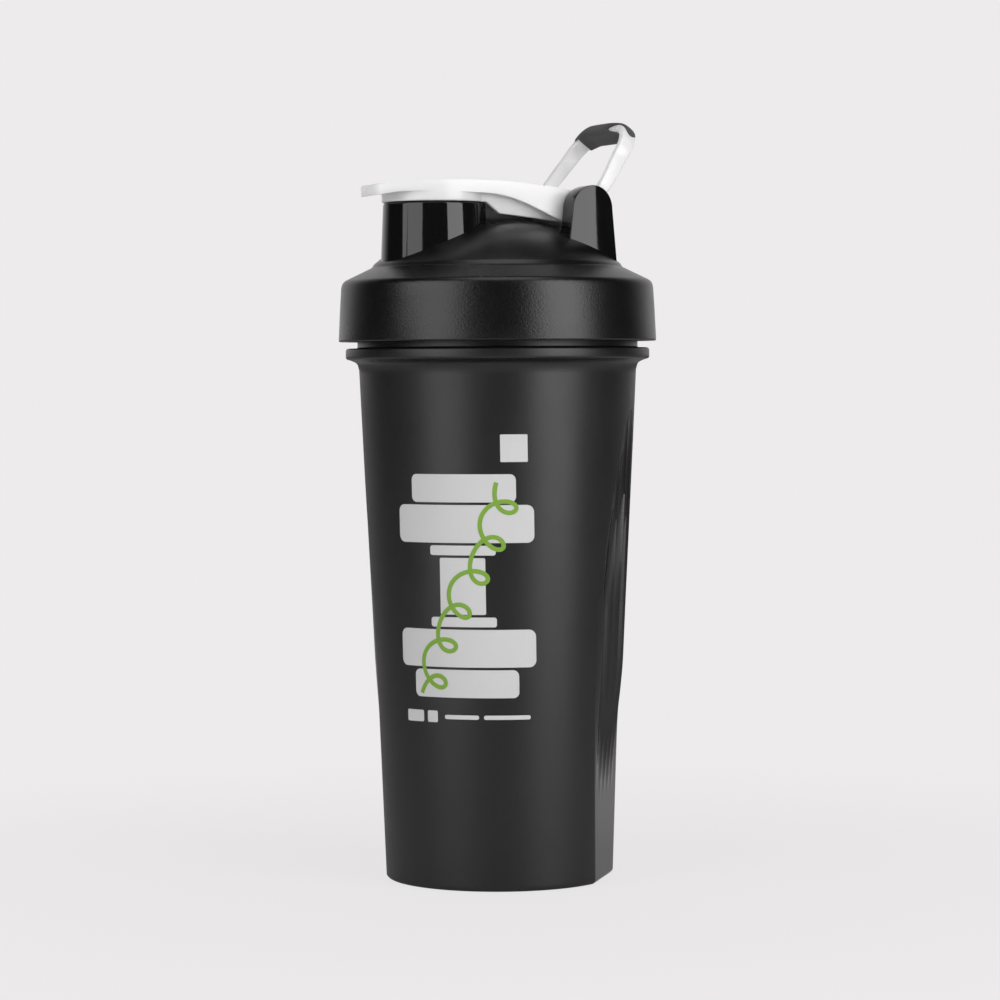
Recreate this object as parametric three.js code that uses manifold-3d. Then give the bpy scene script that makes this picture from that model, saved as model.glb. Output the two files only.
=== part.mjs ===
// Protein shaker bottle with a screw lid, flip cap, carry loop and loose wire whisk ball.
// Millimetres, +Z up. Origin: centre of the base, on the surface that the bottle stands on.
// The spout is on the -X side, the hinge of the flip cap and the loop on the +X side, along Y.
import * as THREE from 'three';
import { mergeVertices } from 'three/addons/utils/BufferGeometryUtils.js';
import Module from 'manifold-3d';

const DEG = Math.PI / 180;
const GAP = 0.3; // clearance between pieces that touch on the real object

// Cup
const BASE_RADIUS = 36.2; // cone radius extended to z = 0
const WALL_TAPER = 0.0468; // radius gained per millimetre of height
const WALL = 2.0;
const WALL_TOP = 160.5;
const FOOT_RADIUS = 30.5;
const FOOT_RECESS = 1.0;
const FLOOR_TOP = 3.2;
const NECK_RADIUS = 44.2;
const NECK_BORE = 42.2;
const RING_RADIUS = 47.9;
const RING_BOTTOM = 163.6;
const RING_TOP = 167.3;
const RIM_Z = 185.2;

// Grip panels: two fluted flats pressed into the wall, on opposite sides
const PANEL_TURN = -39; // degrees from +X to the middle of the first panel
const PANEL_TOP = 150.5;
const PANEL_DEPTHS = [ // [height, distance from the axis to the flat]
	[ 0, 33.8 ], [ 30, 34.3 ], [ 55, 34.8 ], [ 87, 36.2 ], [ 112, 39.0 ], [ PANEL_TOP, 43.4 ],
];
const FLUTES = 5;
const FLUTE_PITCH = 9; // degrees
const RIDGE_FULL_Z = 71; // ridges keep the wall's radius above this height
const RIDGE_END_Z = 24; // and have faded into the flat below this one

// Screw thread between cup and lid
const THREAD_PITCH = 5;
const THREAD_TURNS = 1.25;
const THREAD_DEPTH = 2.0;
const THREAD_STEPS = 24; // per turn
const CUP_THREAD_Z = 173.2;
const LID_THREAD_RADIUS = 47.4;

// Lid
const SKIRT_BOTTOM = 169.4;
const SKIRT_RADIUS = 50.1;
const DOME_RADIUS = 60;
const DOME_TOP = 208;
const INNER_DOME_EDGE = 36.5;
const LID_WALL = 2.0;
const LID_FACETS = 48;
const SEAT_Z = 187.7; // flat that presses on the seal
const LIP_RADIUS = 40.9;
const LIP_BOTTOM = 183.2;
const SPOUT_X = -21.6;
const SPOUT_RADIUS = 16.0;
const SPOUT_BORE = 12.8;
const SPOUT_SHOULDER = 212.4;
const SPOUT_NECK_RADIUS = 14.5;
const SPOUT_TOP = 214.8;

// Hinge ears
const HINGE_X = 22.1;
const HINGE_Z = 210.5;
const EAR_FACE = 24.5; // Y of the plain outer face
const EAR_PLATE = 2.4;
const EAR_DEPTH = 7.4;
const EAR_RADIUS = 7.3;
const EAR_SPLAY = 2.3; // how much wider each side is at the ear's foot
const EAR_FOOT_Z = 188.6;
const EAR_HOOD = 1.6; // wall that wraps over the front of the loop's eye
const PEG_RADIUS = 2.6;
const PEG_END = 13.5; // Y where the peg ends inside the cap's barrel

// Flip cap
const CAP_HALF_WIDTH = 16.4;
const CAP_TIP_X = -46.3;
const CAP_TOP = 219.3;
const CAP_SKIN = 2.2;
const CAP_RING_RADIUS = 16.4;
const CAP_RING_BORE = SPOUT_NECK_RADIUS + GAP;
const BARREL_RADIUS = 5.6;
const RIB_INNER = 10.8; // Y of the faces of the two ribs under the arm
const RIB_OUTER = 12.4;
const RIB_START_X = - 11.5; // where each rib runs into the ring

// Seals
const PLUG_RADIUS = 12.4;
const PLUG_BOTTOM = 209.5;
const GASKET_INNER = 41.4;
const GASKET_OUTER = 45.0;

// Carry loop
const LOOP_LEAN = 35.5; // degrees back from upright at rest
const LOOP_ARM_Y = 20.3;
const LOOP_BULGE_Y = 20.7; // widest place of the arms
const LOOP_BULGE_REACH = 11;
const LOOP_REACH = 30.9;
const LOOP_TOP_Y = 18.3;
const LOOP_CORNER = 10;
const LOOP_THICKNESS = 2.5;
const LOOP_WIDTH_FOOT = 3.4;
const LOOP_WIDTH_TOP = 4.4;
const EYE_RADIUS = 5.0;
const GRIP_HALF_LENGTH = 14.5;
const GRIP_SKIN = 1.2;

// Whisk ball
const BALL_RADIUS = 26;
const WIRE_RADIUS = 1.2;
const BALL_TURNS = 9;

const wasm = await Module();
wasm.setup();

const finish = ( color, roughness, metalness = 0 ) => new THREE.MeshStandardMaterial( { color, roughness, metalness } );
const MATTE_BLACK = finish( 0x262626, 0.6 );
const WHITE = finish( 0xf2f2f0, 0.3 );
const RUBBER = finish( 0x4a4a4a, 0.8 );
const SILICONE = finish( 0xc9ccce, 0.6 );
const STEEL = finish( 0xb9bcc0, 0.3, 1 );

// A closed three.js geometry as a solid that can be joined and cut
function solid( geometry ) {

	const bare = geometry.index ? geometry.toNonIndexed() : geometry.clone();
	bare.deleteAttribute( 'normal' );
	bare.deleteAttribute( 'uv' );
	const merged = mergeVertices( bare, 1e-3 );
	return new wasm.Manifold( new wasm.Mesh( {
		numProp: 3,
		vertProperties: new Float32Array( merged.attributes.position.array ),
		triVerts: new Uint32Array( merged.index.array ),
	} ) );

}

function surface( manifold ) {

	const mesh = manifold.getMesh();
	const geometry = new THREE.BufferGeometry();
	geometry.setAttribute( 'position', new THREE.BufferAttribute( mesh.vertProperties, 3 ) );
	geometry.setIndex( new THREE.BufferAttribute( mesh.triVerts, 1 ) );
	geometry.computeVertexNormals();
	return geometry;

}

// Revolves [radius, height] points about Z
function revolve( points, segments ) {

	const profile = points.map( ( [ r, z ] ) => new THREE.Vector2( r, z ) );
	return new THREE.LatheGeometry( profile, segments ).rotateX( Math.PI / 2 );

}

// Extrudes a shape drawn in the XZ plane along Y, between two Y values
function extrudeAlongY( shape, fromY, toY, curveSegments = 12 ) {

	const geometry = new THREE.ExtrudeGeometry( shape, { depth: toY - fromY, bevelEnabled: false, curveSegments } );
	return geometry.rotateX( Math.PI / 2 ).translate( 0, toY, 0 );

}

function cylinderAlongY( radius, fromY, toY, x, z, segments = 24 ) {

	const length = toY - fromY;
	return new THREE.CylinderGeometry( radius, radius, length, segments ).translate( x, fromY + length / 2, z );

}

function shapeFrom( points ) {

	return new THREE.Shape( points.map( ( [ x, y ] ) => new THREE.Vector2( x, y ) ) );

}

function interpolate( table, x ) {

	const i = Math.max( 1, table.findIndex( ( [ key ] ) => key >= x ) );
	const [ [ x0, y0 ], [ x1, y1 ] ] = [ table[ i - 1 ], table[ i ] ];
	return y0 + ( y1 - y0 ) * ( x - x0 ) / ( x1 - x0 );

}

// Straight bar with a trapezoid section, wrapped round the axis as a screw thread.
// `side` is 1 for a thread that stands out from the wall and -1 for one that stands in.
function thread( wallRadius, side, startZ ) {

	const bite = 0.4; // sunk into the wall, so that the two join
	const root = 1.15;
	const crest = 0.75;
	const section = shapeFrom( [ [ - bite, - root ], [ THREAD_DEPTH, - crest ], [ THREAD_DEPTH, crest ], [ - bite, root ] ] );
	const steps = Math.round( THREAD_TURNS * THREAD_STEPS );
	const bar = new THREE.ExtrudeGeometry( section, { depth: THREAD_TURNS, steps, bevelEnabled: false } );
	const position = bar.attributes.position;
	for ( let i = 0; i < position.count; i ++ ) {

		const turn = position.getZ( i );
		const radius = wallRadius + side * position.getX( i );
		const angle = turn * 2 * Math.PI;
		position.setXYZ( i, radius * Math.cos( angle ), radius * Math.sin( angle ),
			startZ - side * position.getY( i ) + turn * THREAD_PITCH );

	}

	return bar;

}

// Flutes are narrow inside each panel and coarse over the plain wall between the panels
function cupAngles() {

	const angles = [];
	const half = FLUTES * FLUTE_PITCH / 2;
	const stepsPerFlute = 4;
	const margin = 4.5; // plain strip between the outer flutes and the edge of the flat
	const plainSteps = 15;
	for ( const turn of [ PANEL_TURN, PANEL_TURN + 180 ] ) {

		angles.push( turn - half - margin );
		for ( let i = 0; i < FLUTES * stepsPerFlute; i ++ ) angles.push( turn - half + i * FLUTE_PITCH / stepsPerFlute );
		angles.push( turn + half );
		for ( let i = 0; i < plainSteps; i ++ )
			angles.push( turn + half + margin + i * ( 180 - 2 * ( half + margin ) ) / plainSteps );

	}

	return angles;

}

// Radius of the pressed-in wall at an angle and height, for a cone of the given radius there
function pressedRadius( angle, z, coneRadius, inset, fluted ) {

	if ( z > PANEL_TOP ) return coneRadius;
	const turned = ( ( angle - PANEL_TURN + 90 ) % 180 + 180 ) % 180 - 90;
	const flat = ( interpolate( PANEL_DEPTHS, z ) - inset ) / Math.cos( turned * DEG );
	if ( flat >= coneRadius ) return coneRadius;
	const beyondFlutes = Math.abs( turned ) >= FLUTES * FLUTE_PITCH / 2;
	const ridge = beyondFlutes ? 0 : Math.abs( Math.sin( ( turned / FLUTE_PITCH + FLUTES / 2 ) * Math.PI ) );
	const height = THREE.MathUtils.smoothstep( z, RIDGE_END_Z, RIDGE_FULL_Z );
	return fluted ? coneRadius - ( coneRadius - flat ) * ( 1 - height * ( 1 - Math.pow( ridge, 0.7 ) ) ) : flat;

}

function cupBody() {

	const heights = [ 24, 48, 71, 92, 108, 122, 133, 142, PANEL_TOP ];
	const cone = ( z ) => BASE_RADIUS + WALL_TAPER * z;
	const outer = [
		[ 0, FOOT_RECESS ], [ FOOT_RADIUS - 1, FOOT_RECESS ], [ FOOT_RADIUS, 0 ], [ cone( 0 ) - 1.5, 0 ],
		[ cone( 0 ) - 0.4, 0.5 ], [ cone( 1.6 ), 1.6 ], ...heights.map( ( z ) => [ cone( z ), z ] ),
		[ cone( WALL_TOP ), WALL_TOP ], [ 44.5, 162.6 ], [ 46.4, RING_BOTTOM ], [ RING_RADIUS - 0.3, RING_BOTTOM + 0.6 ],
		[ RING_RADIUS, 165.4 ], [ RING_RADIUS - 0.3, RING_TOP - 0.8 ], [ RING_RADIUS - 1.1, RING_TOP ],
		[ NECK_RADIUS, RING_TOP ], [ NECK_RADIUS, RIM_Z ],
	];
	const inner = [
		[ NECK_BORE, RIM_Z ], [ NECK_BORE, 164 ], [ cone( WALL_TOP ) - WALL, WALL_TOP ],
		...[ 142, 124, 106, 87, 55 ].map( ( z ) => [ cone( z ) - WALL, z ] ),
		[ cone( FLOOR_TOP + 4 ) - WALL, FLOOR_TOP + 4 ], [ 31, FLOOR_TOP ], [ 0, FLOOR_TOP ],
	];
	const profile = [ ...outer, ...inner ];
	const angles = cupAngles();
	const geometry = revolve( profile, angles.length );
	const position = geometry.attributes.position;
	for ( let i = 0; i < position.count; i ++ ) {

		const column = Math.floor( i / profile.length ) % angles.length;
		const row = i % profile.length;
		const [ r, z ] = profile[ row ];
		const inside = row >= outer.length;
		const angle = angles[ column ];
		const pressed = r > 0 ? Math.min( r, pressedRadius( angle, z, r, inside ? WALL : 0, ! inside ) ) : 0;
		position.setXYZ( i, pressed * Math.cos( angle * DEG ), pressed * Math.sin( angle * DEG ), z );

	}

	return geometry;

}

function cup() {

	const body = solid( cupBody() );
	const screw = solid( thread( NECK_RADIUS, 1, CUP_THREAD_Z ) );
	return surface( body.add( screw ) );

}

// Spherical cap of the dome as [radius, height] points, from one radius to another
function domeArc( sphereRadius, fromR, toR, steps ) {

	const centreZ = DOME_TOP - DOME_RADIUS;
	return Array.from( { length: steps + 1 }, ( _, i ) => {

		const r = fromR + ( toR - fromR ) * i / steps;
		return [ r, centreZ + Math.sqrt( sphereRadius ** 2 - r ** 2 ) ];

	} );

}

// Inside of the dome and of the lip below it
const innerLine = [
	...domeArc( DOME_RADIUS - LID_WALL, 0, INNER_DOME_EDGE, 5 ),
	[ 38.6, 190.4 ], [ LIP_RADIUS - 1.6, SEAT_Z ], [ LIP_RADIUS - 1.6, LIP_BOTTOM ],
];

function lidShell() {

	return revolve( [
		...innerLine, [ LIP_RADIUS - 0.6, LIP_BOTTOM ],
		[ LIP_RADIUS, LIP_BOTTOM + 1.5 ], [ LIP_RADIUS, SEAT_Z ], [ 46.2, SEAT_Z ], [ LID_THREAD_RADIUS, 186.4 ],
		[ LID_THREAD_RADIUS, SKIRT_BOTTOM + 0.6 ], [ LID_THREAD_RADIUS + 0.5, SKIRT_BOTTOM ],
		[ SKIRT_RADIUS - 0.5, SKIRT_BOTTOM ], [ SKIRT_RADIUS, SKIRT_BOTTOM + 0.6 ], [ 49.5, 182 ], [ 49.1, 186.1 ],
		[ 48.6, 187.4 ], [ 47.2, 188.6 ], [ 44.3, 189.9 ], [ 41.8, 191.2 ], [ 39.9, 192.4 ], [ 38.7, 193.6 ],
		...domeArc( DOME_RADIUS, 37.8, 0, 7 ),
	], LID_FACETS );

}

function spoutTube() {

	const rootZ = 191;
	return revolve( [
		[ 0, rootZ ], [ SPOUT_RADIUS + 0.9, rootZ ], [ SPOUT_RADIUS, SPOUT_SHOULDER - 0.5 ],
		[ SPOUT_RADIUS - 0.5, SPOUT_SHOULDER ], [ SPOUT_NECK_RADIUS, SPOUT_SHOULDER ],
		[ SPOUT_NECK_RADIUS, SPOUT_TOP ], [ 0, SPOUT_TOP ],
	], 40 ).translate( SPOUT_X, 0, 0 );

}

// Outline of an ear in the XZ plane, a round top on a foot that widens downwards
function earOutline( radius, footX ) {

	const shape = new THREE.Shape();
	shape.moveTo( HINGE_X + radius + footX, EAR_FOOT_Z );
	shape.lineTo( HINGE_X + radius, HINGE_Z );
	shape.absarc( HINGE_X, HINGE_Z, radius, 0, Math.PI, false );
	shape.lineTo( HINGE_X - radius - footX, EAR_FOOT_Z );
	return shape;

}

// Each ear is a plate with a hood that wraps over the front of the loop's eye, and a peg
function ear( side ) {

	const span = ( a, b ) => side > 0 ? [ a, b ] : [ - b, - a ];
	const outline = earOutline( EAR_RADIUS, EAR_SPLAY );
	const block = solid( extrudeAlongY( outline, ...span( EAR_FACE - EAR_DEPTH, EAR_FACE ) ) );
	const pocketRadius = EAR_RADIUS - EAR_HOOD;
	const pocketSpan = span( EAR_FACE - EAR_DEPTH - 1, EAR_FACE - EAR_PLATE );
	const behind = shapeFrom( [
		[ HINGE_X + 0.6, HINGE_Z + 20 ], [ HINGE_X + 0.6, HINGE_Z - pocketRadius ],
		[ HINGE_X + 20, HINGE_Z - pocketRadius ], [ HINGE_X + 20, HINGE_Z + 20 ],
	] );
	const pocket = solid( cylinderAlongY( pocketRadius, ...pocketSpan, HINGE_X, HINGE_Z, 32 ) )
		.add( solid( extrudeAlongY( behind, ...pocketSpan ) ) );
	const peg = cylinderAlongY( PEG_RADIUS, ...span( PEG_END, EAR_FACE - 1 ), HINGE_X, HINGE_Z );
	return block.subtract( pocket ).add( solid( peg ) );

}

function lid() {

	const bore = new THREE.CylinderGeometry( SPOUT_BORE, SPOUT_BORE, 60, 40 ).rotateX( Math.PI / 2 )
		.translate( SPOUT_X, 0, DOME_TOP );
	const inside = solid( revolve( [ [ 0, LIP_BOTTOM ], ...innerLine.toReversed() ], LID_FACETS ) );
	const outside = solid( spoutTube() ).add( ear( 1 ) ).add( ear( - 1 ) ).subtract( inside );
	const screw = solid( thread( LID_THREAD_RADIUS, - 1, CUP_THREAD_Z + THREAD_PITCH / 2 ) );
	return surface( solid( lidShell() ).add( outside ).subtract( solid( bore ) ).add( screw ) );

}

function lidGasket() {

	return revolve( [
		[ GASKET_INNER, RIM_Z + GAP ], [ GASKET_OUTER, RIM_Z + GAP ], [ GASKET_OUTER, SEAT_Z - GAP ],
		[ GASKET_INNER, SEAT_Z - GAP ], [ GASKET_INNER, RIM_Z + GAP ],
	], 64 );

}

// Cap seen from above: thumb tab, round over the spout, straight arm back to the hinge
function capPlan( inset ) {

	const half = CAP_HALF_WIDTH - inset;
	const tabRadius = 9.5 - inset;
	const tabX = CAP_TIP_X + 9.5;
	const shape = new THREE.Shape();
	shape.moveTo( HINGE_X, - half );
	shape.lineTo( HINGE_X, half );
	shape.lineTo( SPOUT_X + 2, half );
	shape.bezierCurveTo( SPOUT_X - 8, half, tabX - 2, tabRadius + 3.5, tabX - 5, tabRadius - 1.5 );
	shape.bezierCurveTo( CAP_TIP_X + inset, tabRadius - 4, CAP_TIP_X + inset, 4 - tabRadius, tabX - 5, 1.5 - tabRadius );
	shape.bezierCurveTo( tabX - 2, - tabRadius - 3.5, SPOUT_X - 8, - half, SPOUT_X + 2, - half );
	return shape;

}

// Cap seen from the side as [x, height] points along its top, lowered by `drop`
function capTopLine( drop ) {

	return [
		[ CAP_TIP_X - 1, 214.4 ], [ - 45.4, 215.6 ], [ - 44.6, 217 ], [ - 43.4, 217.8 ], [ - 41, 218.4 ], [ - 36, 219 ],
		[ - 30, CAP_TOP - 0.1 ], [ SPOUT_X, CAP_TOP ], [ - 8, CAP_TOP - 0.1 ], [ 2, CAP_TOP - 0.7 ], [ 10, 217.6 ],
		[ 17, 216.9 ], [ HINGE_X, HINGE_Z + BARREL_RADIUS ],
	].map( ( [ x, z ] ) => [ x, z - drop ] );

}

function capSide( topLine, bottomLine ) {

	return extrudeAlongY( shapeFrom( [ ...topLine, ...bottomLine ] ), - 30, 30 );

}

function flipCap() {

	const plan = ( inset ) => solid( new THREE.ExtrudeGeometry( capPlan( inset ), {
		depth: 40, bevelEnabled: false, curveSegments: 10 } ).translate( 0, 0, 190 ) );
	const skirtLine = [
		[ HINGE_X, 206.5 ], [ 15, 207 ], [ 0.6, 213 ], [ - 8, 215 ], [ - 36, 215.6 ], [ - 42, 214.8 ], [ CAP_TIP_X - 1, 213.8 ],
	];
	const shell = plan( 0 ).intersect( solid( capSide( capTopLine( 0 ), skirtLine ) ) );
	const hollow = plan( 1.8 ).intersect( solid( capSide( capTopLine( CAP_SKIN ), [ [ HINGE_X, 190 ], [ - 60, 190 ] ] ) ) );
	const barrel = solid( cylinderAlongY( BARREL_RADIUS, - CAP_HALF_WIDTH, CAP_HALF_WIDTH, HINGE_X, HINGE_Z ) );
	const ring = solid( revolve( [
		[ CAP_RING_BORE, SPOUT_SHOULDER + GAP ], [ CAP_RING_RADIUS, SPOUT_SHOULDER + GAP ],
		[ CAP_RING_RADIUS, 217.9 ], [ CAP_RING_BORE, 217.9 ], [ CAP_RING_BORE, SPOUT_SHOULDER + GAP ],
	], 40 ).translate( SPOUT_X, 0, 0 ) );
	const stem = solid( new THREE.CylinderGeometry( 4, 4, 6, 20 ).rotateX( Math.PI / 2 ).translate( SPOUT_X, 0, 215 ) );
	const ribSide = [
		[ RIB_START_X, 217 ], [ HINGE_X, 215 ], [ HINGE_X, 206.5 ], [ 14, 207 ], [ 6, 208 ], [ - 2, 208.8 ], [ - 4.8, 209.1 ],
		[ - 9.2, SPOUT_SHOULDER + GAP ], [ RIB_START_X, SPOUT_SHOULDER + GAP ],
	];
	const rib = solid( extrudeAlongY( shapeFrom( ribSide ), RIB_INNER, RIB_OUTER ) );
	const holes = [ - 1, 1 ].map( ( side ) => {

		const span = side > 0 ? [ PEG_END - GAP, 20 ] : [ - 20, GAP - PEG_END ];
		return solid( cylinderAlongY( PEG_RADIUS + GAP, ...span, HINGE_X, HINGE_Z ) );

	} );
	const joined = shell.subtract( hollow ).add( barrel ).add( ring ).add( stem ).add( rib ).add( rib.mirror( [ 0, 1, 0 ] ) );
	return surface( joined.subtract( holes[ 0 ] ).subtract( holes[ 1 ] ) );

}

// Hollow silicone plug, pushed over the cap's stem, that fills the mouth of the spout
function spoutSeal() {

	const top = 216.6;
	return revolve( [
		[ 0, PLUG_BOTTOM ], [ PLUG_RADIUS - 1, PLUG_BOTTOM ], [ PLUG_RADIUS, PLUG_BOTTOM + 1 ], [ PLUG_RADIUS, top ],
		[ 4 + GAP, top ], [ 4 + GAP, 212 - GAP ], [ 0, 212 - GAP ],
	], 32 ).translate( SPOUT_X, 0, 0 );

}

// Middle line of the loop as seen square on: x is across the bottle, y is away from the hinge
function loopLine() {

	const line = new THREE.CurvePath();
	const at = ( x, y ) => new THREE.Vector2( x, y );
	const flatEnd = LOOP_TOP_Y - LOOP_CORNER;
	const shoulder = LOOP_REACH - LOOP_CORNER;
	const corner = ( x, from, to ) => new THREE.EllipseCurve( x, shoulder, LOOP_CORNER, LOOP_CORNER, from, to, true );
	line.add( new THREE.LineCurve( at( - LOOP_ARM_Y, 0 ), at( - LOOP_BULGE_Y, LOOP_BULGE_REACH ) ) );
	line.add( new THREE.LineCurve( at( - LOOP_BULGE_Y, LOOP_BULGE_REACH ), at( - LOOP_TOP_Y, shoulder ) ) );
	line.add( corner( - flatEnd, Math.PI, Math.PI / 2 ) );
	line.add( new THREE.LineCurve( at( - flatEnd, LOOP_REACH ), at( flatEnd, LOOP_REACH ) ) );
	line.add( corner( flatEnd, Math.PI / 2, 0 ) );
	line.add( new THREE.LineCurve( at( LOOP_TOP_Y, shoulder ), at( LOOP_BULGE_Y, LOOP_BULGE_REACH ) ) );
	line.add( new THREE.LineCurve( at( LOOP_BULGE_Y, LOOP_BULGE_REACH ), at( LOOP_ARM_Y, 0 ) ) );
	return line;

}

// Band along the loop's line between two distances, with a width that grows away from the hinge.
// The result lies with its width along X and its reach along Z, before it leans back.
function loopBand( thickness, widthFoot, widthTop, fromY, steps ) {

	const line = loopLine();
	const outer = [];
	const inner = [];
	for ( let i = 0; i <= steps; i ++ ) {

		const point = line.getPointAt( i / steps );
		if ( point.y < fromY || ( fromY > 0 && Math.abs( point.x ) > GRIP_HALF_LENGTH + 3 ) ) continue;
		const tangent = line.getTangentAt( i / steps );
		outer.push( [ point.x - tangent.y * thickness / 2, point.y + tangent.x * thickness / 2 ] );
		inner.unshift( [ point.x + tangent.y * thickness / 2, point.y - tangent.x * thickness / 2 ] );

	}

	const band = new THREE.ExtrudeGeometry( shapeFrom( [ ...outer, ...inner ] ), { depth: 1, bevelEnabled: false } );
	const position = band.attributes.position;
	for ( let i = 0; i < position.count; i ++ ) {

		const [ across, reach, side ] = [ position.getX( i ), position.getY( i ), position.getZ( i ) ];
		const share = THREE.MathUtils.clamp( reach / LOOP_REACH, 0, 1 );
		const width = widthFoot + ( widthTop - widthFoot ) * share;
		position.setXYZ( i, ( side - 0.5 ) * width, across, reach );

	}

	return band;

}

function leanBack( geometry ) {

	return geometry.rotateY( LOOP_LEAN * DEG ).translate( HINGE_X, 0, HINGE_Z );

}

function carryLoop() {

	let loop = solid( loopBand( LOOP_THICKNESS, LOOP_WIDTH_FOOT, LOOP_WIDTH_TOP, 0, 48 ) );
	for ( const side of [ - 1, 1 ] ) {

		const y = side * LOOP_ARM_Y;
		loop = loop.add( solid( cylinderAlongY( EYE_RADIUS, y - 1.4, y + 1.4, 0, 0 ) ) )
			.subtract( solid( cylinderAlongY( PEG_RADIUS + GAP, y - 4, y + 4, 0, 0 ) ) );

	}

	return leanBack( surface( loop ) );

}

function loopGrip() {

	const skin = 2 * ( GRIP_SKIN + GAP );
	const sleeve = loopBand( LOOP_THICKNESS + skin, LOOP_WIDTH_TOP + skin, LOOP_WIDTH_TOP + skin, 12, 64 );
	const core = loopBand( LOOP_THICKNESS + 2 * GAP, LOOP_WIDTH_FOOT + 2 * GAP, LOOP_WIDTH_TOP + 2 * GAP, 0, 64 );
	const span = new THREE.BoxGeometry( 40, 2 * GRIP_HALF_LENGTH, 4 * LOOP_REACH );
	return leanBack( surface( solid( sleeve ).intersect( solid( span ) ).subtract( solid( core ) ) ) );

}

// One wire that winds from pole to pole round a sphere
class BallSpiral extends THREE.Curve {

	getPoint( t, target = new THREE.Vector3() ) {

		const polar = ( 12 + 156 * t ) * DEG;
		const around = t * BALL_TURNS * 2 * Math.PI;
		const radius = BALL_RADIUS - WIRE_RADIUS;
		return target.set( radius * Math.sin( polar ) * Math.cos( around ), radius * Math.sin( polar ) * Math.sin( around ),
			- radius * Math.cos( polar ) );

	}

}

function whiskBall() {

	const section = new THREE.Shape( new THREE.EllipseCurve( 0, 0, WIRE_RADIUS, WIRE_RADIUS ).getPoints( 6 ).slice( 0, - 1 ) );
	const steps = BALL_TURNS * 16;
	const wire = new THREE.ExtrudeGeometry( section, { extrudePath: new BallSpiral(), steps, bevelEnabled: false } );
	return wire.translate( 0, 0, FLOOR_TOP + BALL_RADIUS + GAP );

}

function piece( name, geometry, material ) {

	const mesh = new THREE.Mesh( geometry, material );
	mesh.name = name;
	return mesh;

}

const shaker = new THREE.Group();
shaker.add(
	piece( 'cup', cup(), MATTE_BLACK ),
	piece( 'lid', lid(), MATTE_BLACK ),
	piece( 'lid_gasket', lidGasket(), SILICONE ),
	piece( 'flip_cap', flipCap(), WHITE ),
	piece( 'spout_seal', spoutSeal(), SILICONE ),
	piece( 'carry_loop', carryLoop(), WHITE ),
	piece( 'loop_grip', loopGrip(), RUBBER ),
	piece( 'whisk_ball', whiskBall(), STEEL ),
);

export default shaker;
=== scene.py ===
"""Protein shaker bottle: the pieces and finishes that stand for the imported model, in its own frame.

Every size in the classes is in millimetres. The bottle stands on the floor at the origin, with +Z up,
the drinking spout towards -X and the hinge of the flip cap and the carry loop at +X, along Y.
"""

import logging
import math
from collections.abc import Callable, Iterator, Sequence
from contextlib import contextmanager
from dataclasses import dataclass
from enum import Enum
from itertools import pairwise

import bpy
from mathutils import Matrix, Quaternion, Vector


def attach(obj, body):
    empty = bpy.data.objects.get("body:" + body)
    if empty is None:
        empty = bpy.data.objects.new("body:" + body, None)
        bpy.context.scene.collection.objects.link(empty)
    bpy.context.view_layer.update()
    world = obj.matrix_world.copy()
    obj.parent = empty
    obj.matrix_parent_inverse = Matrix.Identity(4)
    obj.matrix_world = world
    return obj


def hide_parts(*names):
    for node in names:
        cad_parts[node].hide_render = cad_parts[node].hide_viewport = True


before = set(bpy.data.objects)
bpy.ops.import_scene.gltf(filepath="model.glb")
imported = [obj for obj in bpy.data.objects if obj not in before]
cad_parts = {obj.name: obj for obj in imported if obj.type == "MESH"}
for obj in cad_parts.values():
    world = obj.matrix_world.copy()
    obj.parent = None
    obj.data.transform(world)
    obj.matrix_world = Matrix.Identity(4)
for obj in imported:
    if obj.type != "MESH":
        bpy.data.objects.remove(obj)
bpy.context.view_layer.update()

MM = 0.001  # a millimetre in metres
MERGE = 0.002  # vertices closer than this many millimetres are one
GAP = 0.3  # clearance between touching plastic pieces, in millimetres
FULL_TURN = 360.0
POLISH = "polish"  # attribute that is 1 where the mould was polished instead of textured

log = logging.getLogger("shaker")

Object = bpy.types.Object
Material = bpy.types.Material
Pair = tuple[float, float]
Colour = tuple[float, float, float]
Profile = list[Pair]
Socket = bpy.types.NodeSocket


class Body(Enum):
    """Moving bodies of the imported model."""

    CUP = "cup"
    SEAL = "seal"
    LID = "lid"
    FLIP_CAP = "flip_cap"
    CARRY_LOOP = "carry_loop"
    WHISK_BALL = "whisk_ball"


class Slot(Enum):
    """Material slots of the record."""

    CUP = "cup_black"
    LID = "lid_black"
    CAP = "cap_white"
    SEAL = "seal_silicone"
    GRIP = "grip_rubber"
    WIRE = "wire_steel"


class Join(Enum):
    """Ways in which two solids are put together."""

    ADD = "UNION"
    CUT = "DIFFERENCE"
    CROSS = "INTERSECT"


class Sum(Enum):
    """Arithmetic that a finish does on two values."""

    PLUS = "ADD"
    TIMES = "MULTIPLY"
    LARGER = "MAXIMUM"


class LampShape(Enum):
    """Outline of a softbox."""

    OBLONG = "RECTANGLE"
    OVAL = "ELLIPSE"


# ---------------------------------------------------------------------------------------------
# Bench tools: the few ways in which pieces are modelled
# ---------------------------------------------------------------------------------------------


def only(obj: Object) -> None:
    """Makes one object the selected and active one."""
    bpy.ops.object.select_all(action="DESELECT")
    obj.select_set(True)
    bpy.context.view_layer.objects.active = obj


@contextmanager
def editing(obj: Object) -> Iterator[None]:
    """Opens a mesh for editing with all of it selected, and closes it again."""
    only(obj)
    bpy.ops.object.mode_set(mode="EDIT")
    bpy.ops.mesh.select_all(action="SELECT")
    yield
    bpy.ops.object.mode_set(mode="OBJECT")


def settle(obj: Object) -> Object:
    """Puts the object's place, turn and scale into its mesh."""
    only(obj)
    bpy.ops.object.transform_apply(location=True, rotation=True, scale=True)
    return obj


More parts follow.
